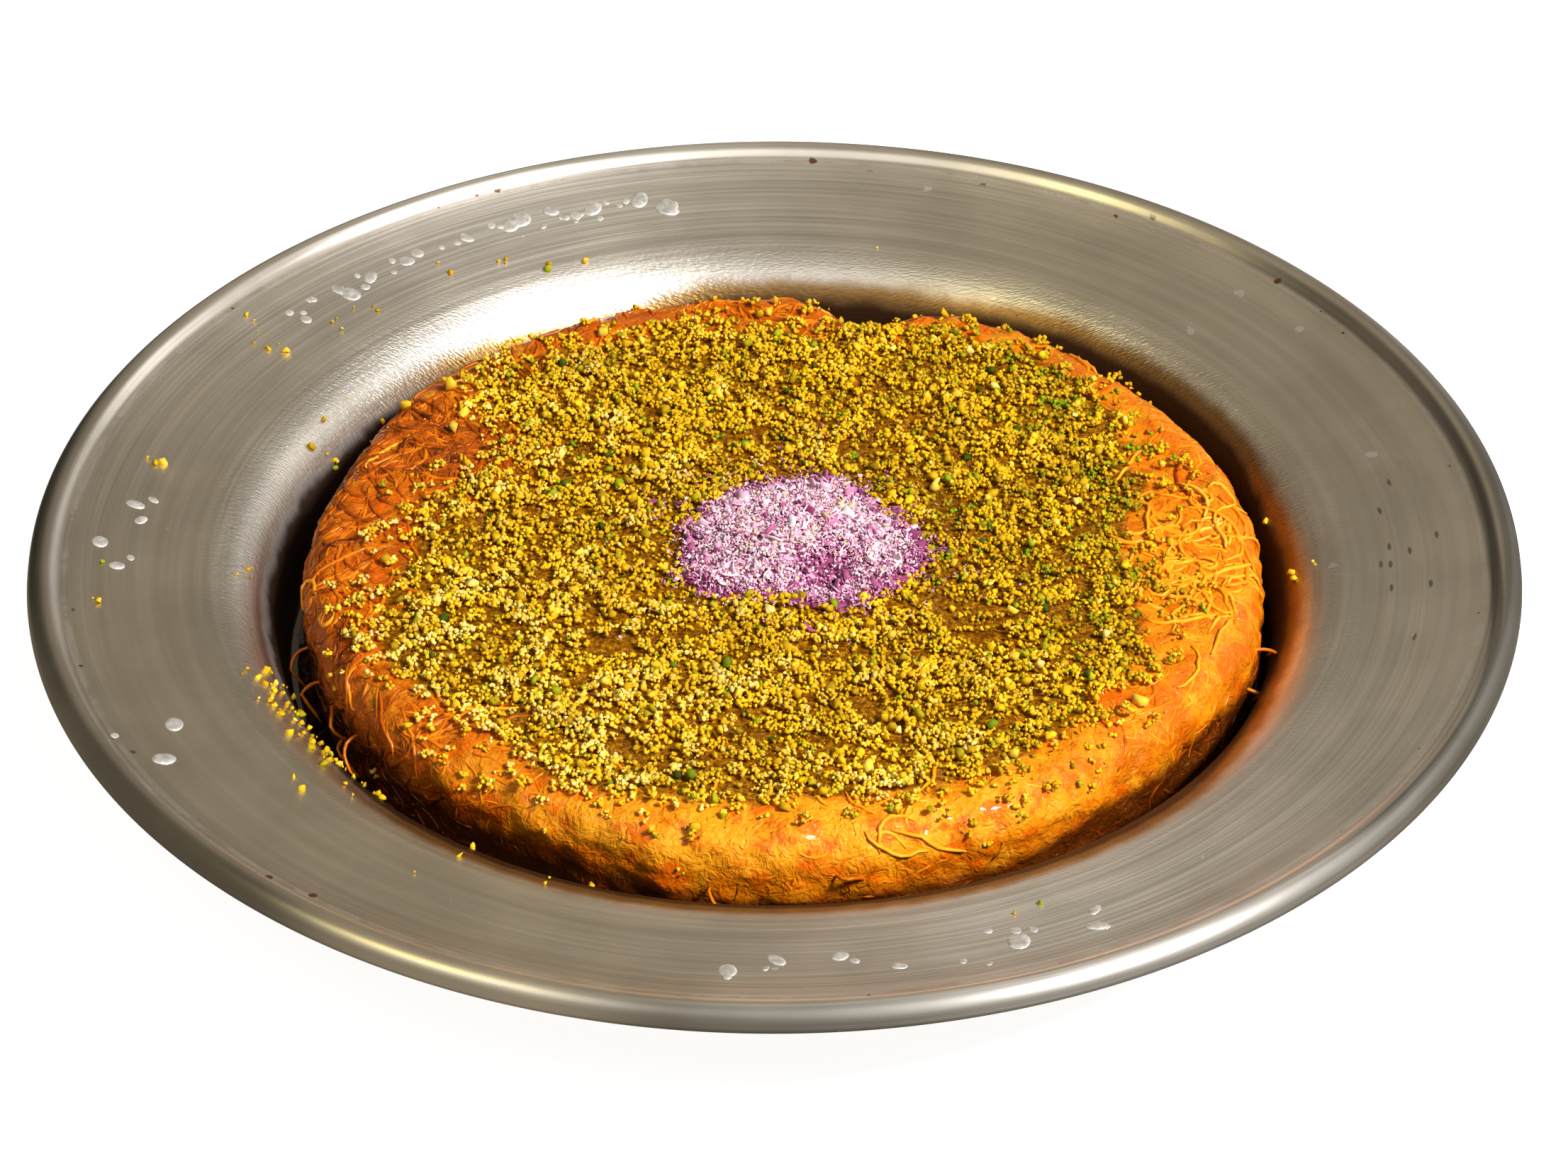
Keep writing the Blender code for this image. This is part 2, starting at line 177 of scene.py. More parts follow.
# Each dim screen: azimuth in degrees, distance, width, lower and upper edge, and colour
SCREENS = (
    (103, 1.4, 2.6, -0.35, 0.36, (0.06, 0.047, 0.03)),
    (128, 1.35, 0.72, -0.35, 0.84, (0.03, 0.024, 0.016)),
    (68, 1.75, 1.1, 0.3, 2.1, (0.19, 0.155, 0.105)),
)


def colour(name, about, default):
    """A colour that a user can change."""
    return FloatVectorProperty(
        name=name, description=about, subtype="COLOR", size=3, min=0.0, max=1.0, default=default
    )


def length(name, about, default):
    """A length in metres that a user can change."""
    return FloatProperty(name=name, description=about, unit="LENGTH", precision=5, default=default)


def count(name, about, default):
    """A whole number that a user can change."""
    return IntProperty(name=name, description=about, min=1, default=default)


def share(name, about, default):
    """A number from 0 to 1 that a user can change."""
    return FloatProperty(
        name=name, description=about, subtype="FACTOR", min=0.0, max=1.0, default=default
    )


class DishSettings(bpy.types.PropertyGroup):
    """Sizes and finish of the steel dish."""

    radius: length("Radius", "From the axis to the rolled edge", DISH_HIGH.x)
    height: length("Height", "From the table to the crest of the edge", DISH_HIGH.z)
    sheet: length("Sheet", "Thickness of the pressed sheet", 0.8 * MM)
    corner_bend: length("Corner bend", "Radius between the floor and the wall", 4.0 * MM)
    mouth_bend: length("Mouth bend", "Radius between the wall and the brim", 12.0 * MM)
    brim_width: length("Brim width", "Width of the sloping brim", 17.9 * MM)
    brim_rise: length("Outer brim", "Width of the brim's outer part, which rises more", 6.9 * MM)
    edge_bend: length("Edge bend", "Radius of the raised and rolled edge", 2.0 * MM)
    hem: length("Hem", "Straight end below the rolled edge", 1.0 * MM)
    steps: count("Steps", "Parts in one turn", 360)
    steel: colour("Steel", "Colour of the clean steel", (0.80, 0.775, 0.735))
    roughness: share("Roughness", "Roughness of the brushed steel", 0.36)
    brushing: share("Brushing", "How strongly the ring grain stretches highlights", 0.58)


class CakeSettings(bpy.types.PropertyGroup):
    """Sizes and colours of the baked shreds."""

    radius: length("Radius", "Radius of the cake", 64.2 * MM)
    shift: length("Shift", "How far the cake lies to the right of the dish's axis", 1.0 * MM)
    low: length("Underside", "Height of the cake's underside", CAKE_LOW.z)
    top: length("Top", "Height of the cake's top", 17.5 * MM)
    shoulder: length("Shoulder", "Radius of the upper edge", 5.5 * MM)
    foot: length("Foot", "Radius of the lower edge", 3.0 * MM)
    steps: count("Steps", "Parts in one turn", 480)
    thread_count: count("Threads", "Shreds that show on the crust", 2350)
    pale_count: count("Pale threads", "Paler shreds on the right of the crust", 120)
    thread_radius: length("Thread radius", "Half the thickness of a shred", 0.29 * MM)
    bright: colour("Bright crust", "Fresh orange crust", (0.80, 0.225, 0.003))
    toasted: colour("Toasted crust", "Browner crust", (0.38, 0.065, 0.001))
    # The burnt colour is also painted shade at the foot, in the gap
    burnt: colour("Burnt crust", "The darkest crust, at the foot", (0.06, 0.010, 0.0005))
    pale: colour("Pale shreds", "Shreds with less colouring", (0.90, 0.37, 0.012))
    # The soaked crust colour is also painted shade between the pistachio crumbs
    shadow: colour("Soaked crust", "Crust soaked dark under the pistachio", (0.19, 0.066, 0.0006))
    # Near black, partly as painted shade in the gap
    syrup: colour("Syrup", "Syrup that has run down beside the cake", (0.03, 0.008, 0.001))


class ToppingSettings(bpy.types.PropertyGroup):
    """Amounts and colours of the pistachio and the rose petals."""

    clump_count: count("Clumps", "Clumps of ground nut about 2 mm across", 1230)
    small_count: count("Small clumps", "Clumps of ground nut about 1 mm across", 3900)
    grit_count: count("Grit", "Chopped pieces over 1 mm", 1500)
    dust_count: count("Dust", "Specks under half a millimetre", 9000)
    nut: colour("Nut", "Most of the pistachio", (0.86, 0.50, 0.009))
    green: colour("Green nut", "Greener bits of pistachio", (0.30, 0.40, 0.008))
    heap_radius: length("Heap radius", "Radius of the petal heap", 15.5 * MM)
    heap_height: length("Heap height", "Height of the petal heap", 3.2 * MM)
    flake_count: count("Petal bits", "Crushed bits of petal", 12500)
    leaf_count: count("Petal leaves", "Larger bits of petal", 230)
    petal: colour("Petal", "Most of the petal bits", (0.90, 0.60, 0.73))
    dark_petal: colour("Dark petal", "The darkest petal bits", (0.10, 0.012, 0.05))


class StageSettings(bpy.types.PropertyGroup):
    """The camera, the lights and the floor."""

    distance: length("Distance", "From the camera to its target", 0.6)
    elevation: FloatProperty(
        name="Elevation",
        description="How far the camera stands above the level of its target",
        unit="ROTATION",
        default=math.radians(36.505),
    )
    lens: FloatProperty(name="Lens", description="Focal length in mm", default=104.54)
    target_x: length("Target X", "Where the camera looks, across", 1.251 * MM)
    target_y: length("Target Y", "Where the camera looks, in depth", -15.699 * MM)
    power: FloatProperty(
        name="Light", description="Power of the key light", unit="POWER", default=38.0
    )
    room: colour("Room", "Colour of the room that the steel reflects", (0.285, 0.234, 0.160))
    floor: colour("Floor", "Colour of the floor", (0.60, 0.60, 0.60))


def smooth_step(value, low, high):
    """From 0 at low to 1 at high, with a soft start and end."""
    part = min(1.0, max(0.0, (value - low) / (high - low)))
    return part * part * (3 - 2 * part)


def lobes(azimuth, waves):
    """The sum of waves round an outline."""
    return sum(
        depth * math.cos(times * (azimuth - math.radians(phase))) for times, depth, phase in waves
    )


class Pen:
    """Draws a section line by straight runs and bends, from a start with a heading."""

    def __init__(self, radius, height, heading=0.0):
        self.points = [(radius, height)]
        self.heading = heading

    def straight(self, distance, parts=1):
        """Goes on for that distance in the present heading."""
        radius, height = self.points[-1]
        for part in range(1, parts + 1):
            run = distance * part / parts
            across, up = run * math.cos(self.heading), run * math.sin(self.heading)
            self.points.append((radius + across, height + up))

    def bend(self, size, heading, parts):
        """Turns to a new heading on an arc of that radius."""
        radius, height = self.points[-1]
        start = self.heading
        side = size if heading > start else -size
        for part in range(1, parts + 1):
            now = start + (heading - start) * part / parts
            across = side * (math.sin(now) - math.sin(start))
            up = side * (math.cos(start) - math.cos(now))
            self.points.append((radius + across, height + up))
        self.heading = heading


def bend_size(size, start, end):
    """How far a bend goes outward and upward."""
    side = size if end > start else -size
    return side * (math.sin(end) - math.sin(start)), side * (math.cos(start) - math.cos(end))


def spun(section, steps):
    """A bmesh of a section line spun right round the Z axis, with its faces outwards."""
    work = bmesh.new()
    places = [work.verts.new((radius, 0.0, height)) for radius, height in section]
    edges = [work.edges.new(pair) for pair in zip(places, places[1:])]
    bmesh.ops.spin(
        work,
        geom=places + edges,
        cent=(0.0, 0.0, 0.0),
        axis=(0.0, 0.0, 1.0),
        angle=2 * math.pi,
        steps=steps,
        use_merge=True,
    )
    bmesh.ops.remove_doubles(work, verts=work.verts, dist=WELD)
    bmesh.ops.recalc_face_normals(work, faces=work.faces)
    return work


def finished(work, name):
    """Makes a bmesh an object in the scene, at the origin, shaded smooth."""
    mesh = bpy.data.meshes.new(name)
    work.to_mesh(mesh)
    work.free()
    mesh.shade_smooth()
    piece = bpy.data.objects.new(name, mesh)
    bpy.context.scene.collection.objects.link(piece)
    return piece


def dress(piece, material, slot, *nodes):
    """Gives a piece its material and its body, and hides the solids that it stands for; the slot is
    not used.
    """
    piece.data.materials.clear()
    piece.data.materials.append(material)
    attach(piece, "root")
    if nodes:
        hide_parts(*nodes)
    return piece


def surface_of(*pieces):
    """A search tree of the faces of several pieces, to lay things on."""
    work = bmesh.new()
    for piece in pieces:
        work.from_mesh(piece.data)
    tree = BVHTree.FromBMesh(work)
    work.free()
    return tree


def landing(surface, x, y):
    """Where a line straight down at a place meets a surface, and the surface's normal there."""
    place, normal, _, _ = surface.ray_cast(Vector((x, y, 0.0)) + ABOVE, DOWN)
    return place, normal


def template(work):
    """A small shape's points and triangles as arrays."""
    bmesh.ops.triangulate(work, faces=work.faces)
    work.verts.index_update()
    points = np.array([vertex.co[:] for vertex in work.verts])
    faces = np.array([[vertex.index for vertex in face.verts] for face in work.faces])
    work.free()
    return points, faces


def joined(name, points, faces, tones, smooth=False):
    """One mesh from many copies: points by copy, the copy's triangles, and a tone for each."""
    copies, size, _ = points.shape
    corners = (faces[None, :, :] + size * np.arange(copies)[:, None, None]).reshape(-1)
    return one_mesh(name, points.reshape(-1, 3), corners, np.repeat(tones, size), smooth)


def one_mesh(name, points, corners, tones, smooth):
    """A mesh of triangles from its points, their numbers by corner, and a tone for each point."""
    mesh = bpy.data.meshes.new(name)
    mesh.vertices.add(len(points))
    mesh.vertices.foreach_set("co", points.reshape(-1).astype(np.float32))
    mesh.loops.add(len(corners))
    mesh.loops.foreach_set("vertex_index", corners.astype(np.int32))
    mesh.polygons.add(len(corners) // 3)
    mesh.polygons.foreach_set("loop_start", np.arange(0, len(corners), 3, dtype=np.int32))
    tone = mesh.attributes.new("tone", "FLOAT", "POINT")
    tone.data.foreach_set("value", tones.astype(np.float32))
    mesh.update(calc_edges=True)
    mesh.validate()
    if smooth:
        mesh.shade_smooth()
    piece = bpy.data.objects.new(name, mesh)
    bpy.context.scene.collection.objects.link(piece)
    return piece


def any_turns(draw, copies):
    """A turn to any side for each copy, as an array of matrices."""
    quarter = draw.normal(size=(copies, 4))
    w, x, y, z = (quarter / np.linalg.norm(quarter, axis=1, keepdims=True)).T
    rows = (
        (1 - 2 * (y * y + z * z), 2 * (x * y - z * w), 2 * (x * z + y * w)),
        (2 * (x * y + z * w), 1 - 2 * (x * x + z * z), 2 * (y * z - x * w)),
        (2 * (x * z - y * w), 2 * (y * z + x * w), 1 - 2 * (x * x + y * y)),
    )
    return np.stack([np.stack(row, axis=-1) for row in rows], axis=-2)


def flat_turns(draw, normals, lean):
    """For each copy a turn that lays its Z along a normal, leaning a little, at any heading."""
    copies = len(normals)
    up = normals + lean * draw.normal(size=(copies, 3))
    up /= np.linalg.norm(up, axis=1, keepdims=True)
    heading = draw.normal(size=(copies, 3))
    side = np.cross(up, heading)
    side /= np.linalg.norm(side, axis=1, keepdims=True)
    return np.stack([side, np.cross(up, side), up], axis=-1)


def scattered(name, shapes, draw, places, turns, sizes, tones, smooth=False):
    """Copies of a few like shapes, each at its place, turned and sized, as one piece."""
    choice = draw.integers(len(shapes), size=len(places))
    all_points = []
    all_corners = []
    all_tones = []
    start = 0
    for kind, (points, faces) in enumerate(shapes):
        mine = np.flatnonzero(choice == kind)
        local = points[None, :, :] * sizes[mine, None, None]
        moved = np.einsum("nij,nkj->nki", turns[mine], local) + places[mine][:, None, :]
        corners = faces[None, :, :] + len(points) * np.arange(len(mine))[:, None, None] + start
        start += moved.shape[0] * moved.shape[1]
        all_points.append(moved.reshape(-1, 3))
        all_corners.append(corners.reshape(-1))
        all_tones.append(np.repeat(tones[mine], len(points)))
    joined_up = [np.concatenate(parts) for parts in (all_points, all_corners, all_tones)]
    return one_mesh(name, *joined_up, smooth)


class Nodes:
    """Adds shader nodes to a tree and joins them."""

    def __init__(self, tree):
        self.tree = tree

    def feed(self, socket, value):
        """Links a socket to another, or sets its own value."""
        if isinstance(value, bpy.types.NodeSocket):
            self.tree.links.new(value, socket)
        else:
            socket.default_value = value

    def add(self, kind, inputs=(), **settings):
        """A node of that kind with its settings and its inputs."""
        node = self.tree.nodes.new("ShaderNode" + kind)
        for name, value in settings.items():
            setattr(node, name, value)
        for name, value in dict(inputs).items():
            self.feed(node.inputs[name], value)
        return node

    def place(self):
        """The object's own coordinates."""
        return self.add("TexCoord").outputs["Object"]

    def axes(self, vector=None):
        """The X, Y and Z of a vector, or else of the object's own coordinates."""
        return self.add("SeparateXYZ", {"Vector": vector or self.place()}).outputs

    def attribute(self, name):
        """A number that the mesh holds for each point."""
        return self.add("Attribute", attribute_name=name).outputs["Fac"]

    def math(self, operation, first, second=0.0, clamp=False):
        """A sum, a product or another operation on two numbers."""
        node = self.add("Math", operation=operation, use_clamp=clamp)
        self.feed(node.inputs[0], first)
        self.feed(node.inputs[1], second)
        return node.outputs[0]

    def chain(self, operation, values):
        """One operation carried through several numbers."""
        result = values[0]
        for value in values[1:]:
            result = self.math(operation, result, value)
        return result

    def product(self, *values):
        """The product of several numbers."""
        return self.chain("MULTIPLY", values)

    def total(self, *values):
        """The sum of several numbers."""
        return self.chain("ADD", values)

    def most(self, *values):
        """The largest of several numbers."""
        return self.chain("MAXIMUM", values)

    def distance_round(self, axes):
        """A point's distance from the Z axis, worked out from its X and Y."""
        squares = self.total(self.product(axes[0], axes[0]), self.product(axes[1], axes[1]))
        return self.math("SQRT", squares)

    def between(self, value, low, high, start=0.0, end=1.0):
        """A number carried softly from one range to another."""
        node = self.add("MapRange", interpolation_type="SMOOTHSTEP")
        for socket, given in zip(node.inputs[:5], (value, low, high, start, end)):
            self.feed(socket, given)
        return node.outputs[0]

    def window(self, value, rise, fall):
        """A number that rises to 1 over one range and falls to 0 over a later one."""
        return self.product(self.between(value, *rise), self.between(value, *fall))

    def cells(self, vector, spacing):
        """How far the nearest cell's middle is, and that cell's own random numbers."""
        scale = self.math("DIVIDE", 1.0, spacing)
        inputs = {"Vector": vector, "Scale": scale}
        cell = self.add("TexVoronoi", inputs, voronoi_dimensions="2D").outputs
        return cell["Distance"], self.add("SeparateColor", {"Color": cell["Color"]}).outputs

    def noise(self, vector, size, detail=2.0, distortion=0.0, roughness=0.5, kind="FBM"):
        """Noise whose patches are about that size, in metres."""
        node = self.add("TexNoise", noise_type=kind)
        values = {"Vector": vector, "Scale": 1.0 / size, "Detail": detail, "Distortion": distortion}
        for name, value in values.items():
            self.feed(node.inputs[name], value)
        node.inputs["Roughness"].default_value = roughness
        return node.outputs["Fac"]

    def mix(self, factor, first, second, blend="MIX"):
        """Two colours mixed."""
        node = self.add("Mix", data_type="RGBA", blend_type=blend)
        for number, value in ((0, factor), (6, first), (7, second)):
            given = (*value, 1.0) if isinstance(value, (tuple, list)) and len(value) == 3 else value
            self.feed(node.inputs[number], given)
        return node.outputs[2]

    def ramp(self, value, stops):
        """A colour by a number, from (number, colour) stops."""
        node = self.add("ValToRGB", {"Fac": value})
        marks = node.color_ramp.elements
        while len(marks) < len(stops):
            marks.new(1.0)
        for mark, (position, tint) in zip(marks, stops):
            mark.position = position
            mark.color = (*tint, 1.0)
        return node.outputs["Color"]

    def bump(self, height, distance, strength=1.0, normal=None):
        """A surface normal from a height."""
        node = self.add("Bump", {"Height": height})
        node.inputs["Strength"].default_value = strength
        node.inputs["Distance"].default_value = distance
        if normal is not None:
            self.feed(node.inputs["Normal"], normal)
        return node.outputs["Normal"]

    def apply(self, name, **inputs):
        """A shader group of this file with its inputs."""
        node = self.tree.nodes.new("ShaderNodeGroup")
        node.node_tree = bpy.data.node_groups.get(name) or GROUPS[name]()
        for key, value in inputs.items():
            self.feed(node.inputs[key.replace("_", " ").capitalize()], value)
        return node.outputs

    def uneven(self, size, low, high):
        """A number that wanders over the surface between two values."""
        return self.apply("Uneven tone", size=size, low=low, high=high)["Value"]


def new_group(name, inputs, outputs):
    """An empty shader group with number inputs and named outputs."""
    tree = bpy.data.node_groups.new(name, "ShaderNodeTree")
    new_socket = tree.interface.new_socket
    for label, default in inputs.items():
        socket = new_socket(name=label, in_out="INPUT", socket_type="NodeSocketFloat")
        socket.default_value = default
    for label, kind in outputs.items():
        new_socket(name=label, in_out="OUTPUT", socket_type="NodeSocket" + kind)
    nodes = Nodes(tree)
    given = nodes.tree.nodes.new("NodeGroupInput").outputs
    result = nodes.tree.nodes.new("NodeGroupOutput").inputs
    return nodes, given, result


def ring_grain_group():
    """Fine rings round the Z axis, broken into short arcs."""
    inputs = {"Pitch": 0.0004, "Arc": 0.35}
    nodes, given, result = new_group("Ring grain", inputs, {"Height": "Float"})
    axes = nodes.axes()
    radius = nodes.most(nodes.distance_round(axes), 0.001)
    across = nodes.math("DIVIDE", nodes.total(radius, axes[2]), given["Pitch"])
    along = nodes.math("DIVIDE", 1.0, given["Arc"])
    east = nodes.product(nodes.math("DIVIDE", axes[0], radius), along)
    north = nodes.product(nodes.math("DIVIDE", axes[1], radius), along)
    vector = nodes.add("CombineXYZ", {"X": east, "Y": north, "Z": across}).outputs[0]
    nodes.feed(result["Height"], nodes.noise(vector, 1.0, detail=3.0))
    return nodes.tree


def specks_group():
    """Sparse spots of uneven size: 1 in a spot and 0 outside."""
    inputs = {"Spacing": 0.004, "Size": 0.3, "Share": 0.3}
    nodes, given, result = new_group("Specks", inputs, {"Mask": "Float"})
    distance, pick = nodes.cells(nodes.place(), given["Spacing"])
    chosen = nodes.math("LESS_THAN", pick[0], given["Share"])
    reach = nodes.product(given["Size"], nodes.total(pick[1], 0.35))
    ragged = nodes.math("SUBTRACT", nodes.noise(nodes.place(), 0.0012, detail=2.0), 0.5)
    edge = nodes.total(distance, nodes.product(ragged, 0.4))
    inside = nodes.between(edge, reach, nodes.product(reach, 0.6))
    nodes.feed(result["Mask"], nodes.product(inside, chosen))
    return nodes.tree


def scratches_group():
    """Short straight scratches that lie every way."""
    inputs = {"Length": 0.009, "Share": 0.5}
    nodes, given, result = new_group("Scratches", inputs, {"Mask": "Float"})
    share_of_cells = nodes.product(given["Share"], 0.12)
    marks = []
    for turn in (0.4, 1.5, 2.5):
        rotation = {"Vector": nodes.place(), "Rotation": (0.0, 0.0, turn)}
        turned = nodes.add("Mapping", rotation).outputs[0]
        stretched = nodes.add("Mapping", {"Vector": turned, "Scale": (1.0, 26.0, 1.0)}).outputs[0]
        distance, pick = nodes.cells(stretched, given["Length"])
        chosen = nodes.math("LESS_THAN", pick[0], share_of_cells)
        marks.append(nodes.product(nodes.between(distance, 0.22, 0.05), chosen))
    nodes.feed(result["Mask"], nodes.most(*marks))
    return nodes.tree


def dings_group():
    """Short marks that follow the rings at the right of the dish: 1 in a mark and 0 outside."""
    inputs = {"Length": 0.004, "Share": 0.4}
    nodes, given, result = new_group("Dings", inputs, {"Mask": "Float"})
    axes = nodes.axes()
    across = nodes.product(nodes.distance_round(axes), 3.2)
    vector = nodes.add("CombineXYZ", {"X": across, "Y": axes[1], "Z": 0.0}).outputs[0]
    distance, pick = nodes.cells(vector, given["Length"])
    chosen = nodes.math("LESS_THAN", pick[0], given["Share"])
    nodes.feed(result["Mask"], nodes.product(nodes.between(distance, 0.27, 0.12), chosen))
    return nodes.tree


def uneven_group():
    """A tone that wanders between a low and a high value."""
    inputs = {"Size": 0.006, "Low": 0.8, "High": 1.1}
    nodes, given, result = new_group("Uneven tone", inputs, {"Value": "Float"})
    node = nodes.add("TexNoise", {"Vector": nodes.place(), "Detail": 3.0})
    nodes.feed(node.inputs["Scale"], nodes.math("DIVIDE", 1.0, given["Size"]))
    value = nodes.between(node.outputs["Fac"], 0.3, 0.7, given["Low"], given["High"])
    nodes.feed(result["Value"], value)
    return nodes.tree


def crumbly_group():
    """The bitten surface of a dry crumb, as a normal."""
    inputs = {"Size": 0.0004, "Depth": 0.5}
    nodes, given, result = new_group("Crumbly", inputs, {"Normal": "Vector"})
    node = nodes.add("TexNoise", {"Vector": nodes.place(), "Detail": 3.0, "Roughness": 0.65})
    nodes.feed(node.inputs["Scale"], nodes.math("DIVIDE", 1.0, given["Size"]))
    bump = nodes.add("Bump", {"Height": node.outputs["Fac"], "Strength": given["Depth"]})
    bump.inputs["Distance"].default_value = 0.0003
    nodes.feed(result["Normal"], bump.outputs["Normal"])
    return nodes.tree


GROUPS = {
    "Ring grain": ring_grain_group,
    "Specks": specks_group,
    "Scratches": scratches_group,
    "Dings": dings_group,
    "Uneven tone": uneven_group,
    "Crumbly": crumbly_group,
}


def new_material(name):
    """A material with its nodes and its Principled shader."""
    made = bpy.data.materials.new(name)
    made.use_nodes = True
    shader = made.node_tree.nodes["Principled BSDF"]
    return made, Nodes(made.node_tree), shader.inputs


def tinted(nodes, base, factor):
    """A colour made darker or lighter by a number."""
    node = nodes.add("VectorMath", operation="SCALE")
    nodes.feed(node.inputs[0], base)
    nodes.feed(node.inputs["Scale"], factor)
    return node.outputs[0]


def fixed(shader, values):
    """Sets what is the same all over a material on the shader's own sockets."""
    for name, value in values.items():
        shader[name].default_value = value


def old_dirt(nodes, radius, crease):
    """Stain and rust along the inner crease of the edge, and dried spots anywhere, as masks."""
    rise, fall = (crease - 0.6 * MM, crease - 0.1 * MM), (crease + 0.7 * MM, crease + 0.2 * MM)
    clouds = nodes.noise(nodes.place(), 10 * MM, detail=5.0, roughness=0.7)
    stain = nodes.product(nodes.between(clouds, 0.40, 0.62), nodes.window(radius, rise, fall))
    spots = nodes.apply("Specks", spacing=0.0075, size=0.08, share=0.04)["Mask"]
    rise, fall = (crease - 1.8 * MM, crease - 0.8 * MM), (crease + 1.6 * MM, crease + 0.6 * MM)
    rust = nodes.apply("Specks", spacing=0.0028, size=0.20, share=0.12)["Mask"]
    return stain, spots, nodes.product(rust, nodes.window(radius, rise, fall))


def right_dings(nodes, axes, radius):
    """Short dents on the right of the brim, as a mask; the steel is painted darker in them as
    shade.
    """
    dings = nodes.apply("Dings", length=0.0042, share=0.12)["Mask"]
    in_depth = nodes.window(axes[1], (20 * MM, 12 * MM), (-30 * MM, -20 * MM))
    on_brim = nodes.between(axes[0], 79 * MM, 82 * MM), nodes.between(radius, 91 * MM, 89 * MM)
    return nodes.product(dings, in_depth, *on_brim)


def painted_gap_shade_and_reflection(nodes, axes, radius):
    """Painted light on the steel low round the cake, as masks: the amber band is a painted
    reflection of the crust, and the dark band under it is painted shade in the gap.
    """
    ragged = nodes.product(nodes.noise(nodes.place(), 4 * MM, detail=3.0), 1.2 * MM)
    near = nodes.product(nodes.between(axes[1], -22 * MM, -62 * MM), -4.6 * MM)
    far = nodes.between(axes[1], 50 * MM, 66 * MM), nodes.between(axes[0], -10 * MM, -22 * MM)
    left = nodes.product(nodes.between(axes[0], -25 * MM, -50 * MM), 0.6 * MM)
    corner = nodes.between(axes[0], 20 * MM, 45 * MM), nodes.between(axes[1], 15 * MM, 30 * MM)
    shifts = near, nodes.product(*far, 1.3 * MM), left, nodes.product(*corner, -1.2 * MM)
    inward = nodes.total(radius, ragged, *shifts)
    in_wall = nodes.product(nodes.between(radius, 60 * MM, 62 * MM), nodes.attribute("lining"))
    dark = nodes.product(nodes.between(inward, 71.0 * MM, 69.4 * MM), in_wall)
    amber = nodes.product(nodes.between(inward, 73.0 * MM, 70.8 * MM), in_wall)
    return nodes.product(amber, nodes.between(axes[0], -66 * MM, -45 * MM)), dark


def painted_edge_shade(nodes, axes, radius):
    """Painted shade: how much of the steel's brightness is left where the outer roll, the near roll
    and a line along the right lip are painted darker in place of dark reflections.
    """
    right, left = (55 * MM, 85 * MM), (-45 * MM, -65 * MM)
    sides = nodes.most(nodes.between(axes[0], *right), nodes.between(axes[0], *left))
    roll = nodes.between(radius, 96.8 * MM, 98.4 * MM), nodes.between(axes[1], 55 * MM, 10 * MM)
    near_roll = (
        nodes.between(radius, 97.8 * MM, 98.6 * MM),
        nodes.between(axes[1], -30 * MM, -55 * MM),
        nodes.between(axes[0], -30 * MM, -10 * MM, 0.0, 0.58),
    )
    middle = nodes.between(axes[1], 0.0, -45 * MM, 96.0 * MM, 98.2 * MM)
    off = nodes.math("ABSOLUTE", nodes.math("SUBTRACT", radius, middle))
    # Painted shade along the crease of the right lip
    line = nodes.between(off, 1.2 * MM, 0.4 * MM), nodes.between(axes[0], 60 * MM, 78 * MM)
    dark = nodes.product(*roll, sides, 0.66), nodes.product(*near_roll), nodes.product(*line, 0.60)
    return nodes.math("SUBTRACT", 1.0, nodes.most(*dark))


